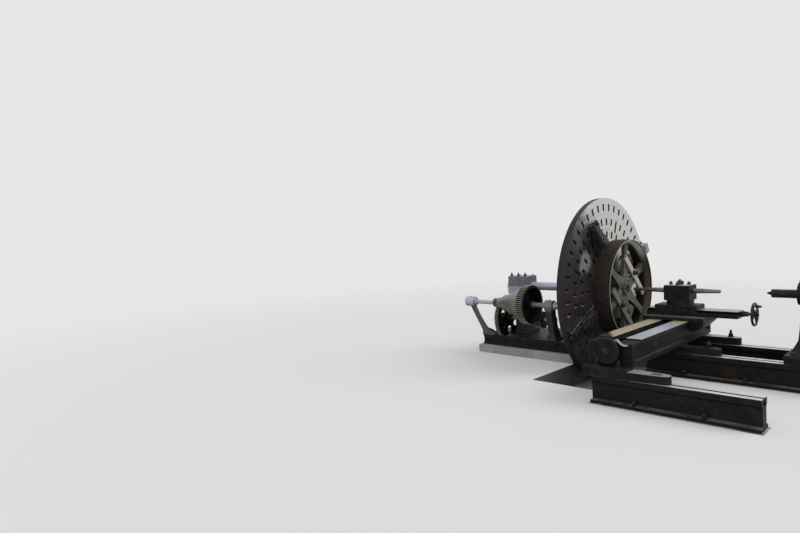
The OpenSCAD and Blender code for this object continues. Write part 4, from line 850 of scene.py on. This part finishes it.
def stone_pier(name, blocks):
    bm = bmesh.new()
    for index, (low, high) in enumerate(blocks):
        tall = high[2] - low[2]
        levels = max(1, round(tall / STONE_HEIGHT))
        for k in range(levels):
            a = [low[0], low[1], low[2] + tall * k / levels]
            b = [high[0], high[1], low[2] + tall * (k + 1) / levels]
            course_of_stones(bm, a, b, 0.5 * (k % 2), 17 + index * 31 + k)
    pier = mesh_object(name + "_stones", bm)
    pier.data.materials.append(finishes["stone"])
    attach(pier, "bed")
    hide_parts(name)


stone_pier("headstock_foundation", [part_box("headstock_foundation")])
stone_pier("front_foundation", [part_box("front_foundation")])
stone_pier("bed_foundation", [((0.60, -0.465, 0.0), (3.10, 0.465, FLOOR_Z)),
                              ((-0.23, -0.465, 0.0), (0.60, 0.465, RAFT_Z)),
                              ((0.63, -1.58, 0.0), (1.05, -0.464, RAFT_Z))])

# %% [markdown]
# ## Small parts
# The CAD file leaves the small parts to this scene: threads above the nuts, oil cups, foot bolts
# and set screws. A round part is drawn as a profile and spun about its axis. Parts of a kind on
# one body are joined into one mesh, so the scene stays small.

# %% Helpers for small parts
UP = Vector((0, 0, 1))
AHEAD = Vector((1, 0, 0))
BACK = Vector((-1, 0, 0))
FRONTWARD = Vector((0, -1, 0))
NUT_EDGE = 0.0015


def place_new(bm, before, at, toward, roll_angle=0.0):
    turned = toward.normalized().to_track_quat("Z", "Y").to_matrix().to_4x4()
    move = Matrix.Translation(Vector(at)) @ turned @ Matrix.Rotation(roll_angle, 4, "Z")
    bmesh.ops.transform(bm, matrix=move, verts=[vert for vert in bm.verts if vert not in before])


def spin_profile(bm, profile, steps, **more):
    points = [bm.verts.new((radius, 0, level)) for radius, level in profile]
    edges = [bm.edges.new(pair) for pair in zip(points, points[1:])]
    before = set(bm.verts) - set(points)
    bmesh.ops.spin(bm, geom=points + edges, cent=(0, 0, 0), axis=(0, 0, 1), steps=steps, **more)
    return before


def add_turned(bm, profile, at, toward=UP, steps=20):
    before = spin_profile(bm, profile, steps, angle=2 * math.pi, use_merge=True)
    made = [vert for vert in bm.verts if vert not in before]
    bmesh.ops.remove_doubles(bm, verts=made, dist=0.00005)
    place_new(bm, before, at, toward)


def add_disc(bm, radius, height, at, toward=UP):
    add_turned(bm, [(0.0, 0.0), (radius, 0.0), (radius, height), (0.0, height)], at, toward)


def add_pin(bm, radius, straight, tip, height, at, toward, steps=20):
    profile = [(0.0, 0.0), (radius, 0.0), (radius, straight), (tip, height), (0.0, height)]
    add_turned(bm, profile, at, toward, steps)


def add_nut(bm, radius, height, at, toward=UP, roll_angle=0.0):
    across = radius / math.cos(math.pi / 6)
    made = bmesh.ops.create_cone(bm, cap_ends=True, segments=6, radius1=across, radius2=across,
                                 depth=height)["verts"]
    bmesh.ops.translate(bm, vec=(0, 0, height / 2), verts=made)
    before = set(bm.verts) - set(made)
    bevel_edges(bm, edges_at(made), NUT_EDGE, 1)
    place_new(bm, before, at, toward, roll_angle)


def add_thread(bm, radius, pitch_length, turns, at, toward=UP):
    core = radius - 0.35 * pitch_length
    rise = pitch_length * turns
    step_count = 12 * turns
    ridge = [(core, -0.42 * pitch_length), (radius, 0.0), (core, 0.42 * pitch_length)]
    before = spin_profile(bm, ridge, step_count, dvec=(0, 0, rise / step_count),
                          angle=2 * math.pi * turns, use_duplicate=False)
    place_new(bm, before, at, toward)
    end = rise + 0.8 * pitch_length
    add_turned(bm, [(core, -0.5 * pitch_length), (core, rise + 0.5 * pitch_length),
                    (core - 0.15 * pitch_length, end), (0, end)], at, toward, 12)


def add_oil_cup(bm, at, size):
    profile = [(0.0, 0.0), (0.010, 0.0), (0.010, 0.006), (0.006, 0.008), (0.006, 0.020), (0.017, 0.026),
               (0.019, 0.034), (0.019, 0.054), (0.0205, 0.055), (0.0205, 0.060), (0.012, 0.066),
               (0.004, 0.068), (0.004, 0.073), (0.0, 0.074)]
    add_turned(bm, [(radius * size, level * size) for radius, level in profile], at)


def add_bolt_head(bm, at, toward, size, height, roll_angle):
    add_turned(bm, [(0.0, 0.0), (size * 1.45, 0.0), (size * 1.45, size * 0.18), (size * 1.3, size * 0.22),
                    (0.0, size * 0.22)], at, toward, 18)
    add_nut(bm, size, height, Vector(at) + 0.2 * size * toward, toward, roll_angle)


def add_set_screws(bm, spots, toward, nut_height, straight):
    for k, at in enumerate(spots):
        add_nut(bm, 0.0085, nut_height, at, toward, 0.5 * k)
        add_pin(bm, 0.005, straight, 0.003, straight + 0.002, at, toward, 10)


def finish_parts(name, bm, body, material):
    bmesh.ops.recalc_face_normals(bm, faces=bm.faces)
    thing = mesh_object(name, bm)
    for polygon in thing.data.polygons:
        polygon.use_smooth = True
    thing.data.set_sharp_from_angle(angle=math.radians(32))
    thing.data.materials.append(material)
    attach(thing, body)
    print(name, len(thing.data.polygons), "faces")


def end_nut(name, body, at, toward, size, height, roll_angle, stand_off, pin):
    bm = bmesh.new()
    add_nut(bm, size, height, at, toward, roll_angle)
    add_pin(bm, *pin, Vector(at) + stand_off * toward, toward)
    finish_parts(name, bm, body, screw_dark)


# %% [markdown]
# The finish of the small parts is plain: dark iron with worn edges for screws and nuts, brighter
# steel for one loose washer, and old brass for the oil cups and plugs.

# %% Finishes of the small parts
screw_dark = casting_finish("screw_dark", (0.013, 0.012, 0.011), (0.034, 0.031, 0.028), 0.3, 0.42, 0.1, 0.3,
                            0.9)
screw_bright = steel_finish("screw_bright", (0.44, 0.44, 0.46), 0.36, 0.7, 0.5, 0.3)
brass = steel_finish("old_brass", (0.42, 0.30, 0.12), 0.42, 0.8, 0.5, 0.4)

# %% [markdown]
# ## The bearing caps
# The caps of the two spindle bearings are square blocks with flat tops, taller than the plain caps
# of the CAD file, and their nuts stand on top. Each is one profile with a half round cut-out for
# the spindle, drawn across the shaft and extruded along it. The piece takes the place of the CAD
# caps.

# %% Bearing caps
CAP_TOP = 1.348
CAP_EDGE = 0.010
CAP_HALF_WIDTH = 0.118
CAP_HALF_TOP = 0.112
SPINDLE_BORE = 0.0532


def extrude_outline(bm, outline, move):
    face = bm.faces.new([bm.verts.new(point) for point in outline])
    grown = bmesh.ops.extrude_face_region(bm, geom=[face])
    moved = [v for v in grown["geom"] if isinstance(v, bmesh.types.BMVert)]
    bmesh.ops.translate(bm, vec=move, verts=moved)


def add_cap(bm, start, length):
    low = AXIS_Z + 0.0002
    arch = [(SPINDLE_BORE * math.cos(a), AXIS_Z + SPINDLE_BORE * math.sin(a))
            for a in (math.pi * k / 14 for k in range(15))]
    arch[0] = (SPINDLE_BORE, low)
    arch[-1] = (-SPINDLE_BORE, low)
    outline = [(-CAP_HALF_WIDTH, low)] + arch[::-1]
    outline += [(CAP_HALF_WIDTH, low), (CAP_HALF_WIDTH, CAP_TOP - CAP_EDGE), (CAP_HALF_TOP, CAP_TOP),
                (-CAP_HALF_TOP, CAP_TOP), (-CAP_HALF_WIDTH, CAP_TOP - CAP_EDGE)]
    extrude_outline(bm, [(start, y, z) for y, z in outline], (length, 0, 0))
    ends = [f for f in bm.faces if abs(f.normal.x) > 0.9 or len(f.verts) > 6]
    bmesh.ops.triangulate(bm, faces=ends)


bm = bmesh.new()
add_cap(bm, -1.382, 0.304)
add_cap(bm, -0.402, 0.184)
bmesh.ops.recalc_face_normals(bm, faces=bm.faces)
caps = mesh_object("cap_blocks", bm)
cap_paint, height = start_casting("cap_paint", (0.13, 0.135, 0.16), (0.19, 0.195, 0.23), 0.0, 0.45, 0.3)
# painted highlight: the tops of the caps are painted paler
cap_paint.over(cap_paint.ramp(cap_paint.facing("Z"), 0.6, 0.9), (0.36, 0.38, 0.44), 0.45, 0.85)
caps.data.materials.append(end_casting(cap_paint, height, 0.1, 0.6, (0.45, 0.46, 0.50), 0.3))
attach(caps, "bed")
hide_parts("bearing_caps")
soften(caps, 0.004)

# %% [markdown]
# ## The clamp lug on the rear rail
# One more lug of the cross bed lies on the rear rail, with its bolt in the rail's slot. It tapers
# to a round nose, and its whole top is paler.

# %% Rear clamp lug
LUG_TOP = RAIL_TOP + 0.080
LUG_Y = 0.345
NOSE_X = 1.285
NOSE_RADIUS = 0.055
LUG_ROOT = 0.985
LUG_HALF_WIDTH = 0.075
bm = bmesh.new()
outline = [(LUG_ROOT, LUG_Y - LUG_HALF_WIDTH)]
outline += [(NOSE_X + NOSE_RADIUS * math.cos(a), LUG_Y + NOSE_RADIUS * math.sin(a))
            for a in (math.pi * (k / 10 - 0.5) for k in range(11))]
outline += [(LUG_ROOT, LUG_Y + LUG_HALF_WIDTH)]
extrude_outline(bm, [(x, y, RAIL_TOP) for x, y in outline], (0, 0, LUG_TOP - RAIL_TOP))
bmesh.ops.recalc_face_normals(bm, faces=bm.faces)
rear_lug = mesh_object("rear_clamp_lug", bm)
lug_iron, height = start_casting("rear_lug_iron", BLACK, BLACK_LIGHT, 0.1, 0.45, 0.3)
# the whole top of the lug is paler
lug_iron.over(lug_iron.ramp(lug_iron.facing("Z"), 0.6, 0.9), (0.40, 0.42, 0.44), 0.4, 0.9, 0.4)
rear_lug.data.materials.append(end_casting(lug_iron, height, 0.1, 0.8))
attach(rear_lug, "bed")
soften(rear_lug, 0.003)

# %% [markdown]
# ## Fittings of the headstock and the beds
# Bearing caps are drawn down by nuts on studs, so a few turns of thread stand above each nut. Every
# bearing has an oil hole with a plug or a cup, since all of them run in plain bores. The feet of
# the pedestals and the base are bolted down.

# %% Fittings that stand still
LAY_BEARINGS = (-1.465, -0.665)
RAIL_NUT_TOP = 0.4035
PEDESTAL_FOOT_TOP = 0.609
LAY_FOOT_TOP = 0.603
END_PLATE_Y = -1.662
bm = bmesh.new()
for start, length in ((-1.39, 0.32), (-0.41, 0.20)):
    for k in range(3):
        at = Vector((start + length * (k + 0.5) / 3, -0.092, CAP_TOP - 0.001))
        add_nut(bm, 0.0165, 0.026, at, UP, 0.3 * k)
        add_thread(bm, 0.0100, 0.0026, 8, at + 0.027 * UP)
        add_nut(bm, 0.0165, 0.010, at - 0.184 * FRONTWARD, UP, 0.3 * k)
for y, start, length, count in ((-1.70, 0.65, 1.37, 2), (-0.345, 0.60, 2.5, 4), (0.345, 0.60, 2.5, 4)):
    for k in range(count):
        for side in (-1, 1):
            x = start + length * (k + 0.7) / (count + 0.4)
            add_thread(bm, 0.0103, 0.0026, 4, (x, y + side * 0.082, RAIL_NUT_TOP))
for x, y, seat in ((1.221, -0.345, 0.666), (0.68, -1.70, 0.680), (0.88, -1.70, 0.680)):
    add_thread(bm, 0.0134, 0.003, 8, (x, y, seat + 0.0355))
bolt = Vector((1.235, LUG_Y, LUG_TOP))
add_disc(bm, 0.030, 0.006, bolt)
add_nut(bm, 0.022, 0.030, bolt + 0.006 * UP, UP, 0.4)
add_thread(bm, 0.0134, 0.003, 12, bolt + 0.037 * UP)
for x, y in ((-1.25, 0.138), (-1.10, 0.138), (-0.385, 0.218), (-0.315, 0.218)):
    for side in (-1, 1):
        add_bolt_head(bm, (x, side * y, PEDESTAL_FOOT_TOP), UP, 0.008, 0.012, 0.4 * side)
for x, y, z in (
        (-1.565, -0.36, 0.597), (-1.45, -0.36, 0.597), (-1.30, -0.405, 0.575), (-0.95, -0.405, 0.575),
        (-0.33, -0.405, 0.575), (-1.55, 0.405, 0.575), (-1.20, 0.405, 0.575), (-0.80, 0.405, 0.575),
        (-0.35, 0.405, 0.575)):
    add_bolt_head(bm, (x, y, z), UP, 0.014, 0.018, x * 3)
for x in LAY_BEARINGS:
    for side in (-1, 1):
        at = (x + 0.026 * side, LAY_Y + 0.0775 * side, LAY_FOOT_TOP)
        add_bolt_head(bm, at, UP, 0.008, 0.012, 0.3)
for x in (-0.036, 0.036):
    for z in (0.705, 0.765):
        add_bolt_head(bm, (FEED_X + x, END_PLATE_Y, z), FRONTWARD, 0.0085, 0.009, x * 9)
finish_parts("bed_fittings", bm, "bed", screw_dark)

bm = bmesh.new()
for x in LAY_BEARINGS:
    add_oil_cup(bm, (x, LAY_Y, 0.845), 0.75)
plug_profile = [(0.0, -0.004), (0.013, -0.004), (0.013, 0.003), (0.009, 0.006), (0.0, 0.006)]
for x, y, z in ((-1.23, 0, CAP_TOP), (-0.31, 0, CAP_TOP), (-1.77, DRIVE_Y, 1.086), (-0.545, DRIVE_Y, 1.086)):
    add_turned(bm, plug_profile, (x, y, z), UP, 18)
finish_parts("bed_oil_cups", bm, "bed", brass)

# %% [markdown]
# ## Fittings that turn with the faceplate
# The ring gear is held to the plate by screws from the back. Each jaw slide has four bolts through
# its flanges. The wheel's split hub is drawn together by one bolt through its lugs, and the clamp
# bars are held by square-headed bolts, with a loose plate under one of the nuts.

# %% Faceplate fittings
GEAR_SCREWS = 12
GEAR_SCREW_RADIUS = 0.5862
CLAMP_BOLT_OFFSET = 0.25 * math.sqrt(0.5)
bm = bmesh.new()
for k in range(GEAR_SCREWS):
    angle = 2 * math.pi * (k + 0.5) / GEAR_SCREWS
    at = (-0.15, GEAR_SCREW_RADIUS * math.cos(angle), AXIS_Z + GEAR_SCREW_RADIUS * math.sin(angle))
    add_nut(bm, 0.0085, 0.012, at, BACK, 0.4 * k)
for k in range(4):
    angle = math.radians(90 * k + 25)
    out = Vector((0, math.cos(angle), math.sin(angle)))
    across = Vector((0, -math.sin(angle), math.cos(angle)))
    length = 0.40 if k == 1 else 0.605
    for reach in (0.53, 0.48 + length - 0.05):
        for side in (-1, 1):
            at = Vector((0.0255, 0, AXIS_Z)) + out * reach + across * side * 0.082
            add_nut(bm, 0.0115, 0.014, at, AHEAD, 0.7 * k + side)
            add_pin(bm, 0.0085, 0.003, 0.006, 0.006, at + 0.0135 * AHEAD, AHEAD, 10)
lug = Vector((0.171, -0.120, AXIS_Z))
for side in (-1, 1):
    add_disc(bm, 0.023, 0.004, lug + 0.061 * side * UP, side * UP)
    add_nut(bm, 0.0175, 0.018, lug + 0.065 * side * UP, side * UP, 0.3)
    offset = side * CLAMP_BOLT_OFFSET
    add_thread(bm, 0.0172, 0.003, 3, (0.276, offset, AXIS_Z + offset), AHEAD)
add_thread(bm, 0.0112, 0.0025, 5, lug - 0.0832 * UP, -UP)
finish_parts("faceplate_fittings", bm, "spindle", screw_dark)

bm = bmesh.new()
add_box(bm, (-0.062, -0.027, 0.0), (0.062, 0.027, 0.0052))
bevel_edges(bm, [e for e in bm.edges if abs(e.verts[0].co.z - e.verts[1].co.z) > 0.004], 0.018, 4)
place_new(bm, (), (0.2412, CLAMP_BOLT_OFFSET, AXIS_Z + CLAMP_BOLT_OFFSET), AHEAD, 0.5)
finish_parts("loose_washer", bm, "spindle", screw_bright)

# %% [markdown]
# ## Fittings of the slide rest
# A slide is kept tight by a loose strip, a gib, and a row of set screws with lock nuts presses it.
# The cutter of the boring bar is a small square bit with a set screw. The handwheel is kept on by
# one nut, with the end of the screw standing out of it.

# %% Slide rest fittings
SLIDE_SCREW_Z = 0.9843
bm = bmesh.new()
add_set_screws(bm, [Vector((0.505, -0.18 + 0.09 * k, 0.85)) for k in range(5)], BACK, 0.008, 0.017)
for x in (0.60, 0.70, 0.86, 0.96):
    add_pin(bm, 0.008, 0.003, 0.006, 0.005, (x, -0.24, 0.918), FRONTWARD, 14)
for x in (0.545, 1.095):
    for side in (-1, 1):
        add_bolt_head(bm, (x, side * 0.175, 0.9423), UP, 0.014, 0.014, x * 7)
finish_parts("saddle_fittings", bm, "saddle", screw_dark)

bm = bmesh.new()
add_set_screws(bm, [Vector((0.65 + 0.068 * k, -0.131, 1.005)) for k in range(6)], FRONTWARD, 0.007, 0.015)
add_thread(bm, 0.0152, 0.003, 4, (0.83, 0, 1.3195))
add_box(bm, (0.328, -0.046, 1.2045), (0.339, 0.026, 1.2155), 0.0008)
add_pin(bm, 0.006, 0.004, 0.004, 0.006, (0.36, 0, 1.2285), UP, 12)
finish_parts("top_slide_fittings", bm, "top_slide", screw_dark)
end_nut("handwheel_nut", "slide_handwheel", (1.5712, 0, SLIDE_SCREW_Z), AHEAD, 0.022, 0.014,
        0.2, 0.0118, (0.013, 0.006, 0.009, 0.010))

# %% [markdown]
# ## Fittings of the tailstock and the feed
# The barrel is locked by a handle on top of the head. Four bolts hold the sole. The large handwheel
# and the ratchet disc are each kept on by one large black nut.

# %% Tailstock and feed fittings
HANDLE_X = 1.958
FEED_SCREW_Z = 0.82652
bm = bmesh.new()
for x in (1.955, 2.33):
    for side in (-1, 1):
        add_bolt_head(bm, (x, side * 0.365, 0.6703), UP, 0.019, 0.022, x * 5)
add_turned(bm, [(0.0, -0.012), (0.024, -0.012), (0.024, 0.006), (0.018, 0.012), (0.018, 0.030),
                (0.014, 0.034), (0.0, 0.034)], (HANDLE_X, 0, 1.317), UP, 24)
add_turned(bm, [(0.0, 0.0), (0.009, 0.0), (0.007, 0.05), (0.007, 0.11), (0.012, 0.125), (0.016, 0.14),
                (0.012, 0.155), (0.0, 0.160)], (HANDLE_X, 0, 1.338),
           Vector((0.25, -0.9, 0.35)), 18)
finish_parts("tailstock_fittings", bm, "tailstock", screw_dark)

bm = bmesh.new()
add_oil_cup(bm, (2.16, 0, 1.304), 0.9)
finish_parts("tailstock_oil_cup", bm, "tailstock", brass)

end_nut("tail_handwheel_nut", "tail_handwheel", (2.4452, 0, AXIS_Z), AHEAD, 0.030, 0.016,
        0.2, 0.008, (0.016, 0.006, 0.010, 0.012))
end_nut("feed_disc_nut", "feed_screw", (FEED_X, -1.7292, FEED_SCREW_Z), FRONTWARD, 0.030, 0.020,
        0.35, 0.0198, (0.015, 0.008, 0.010, 0.012))
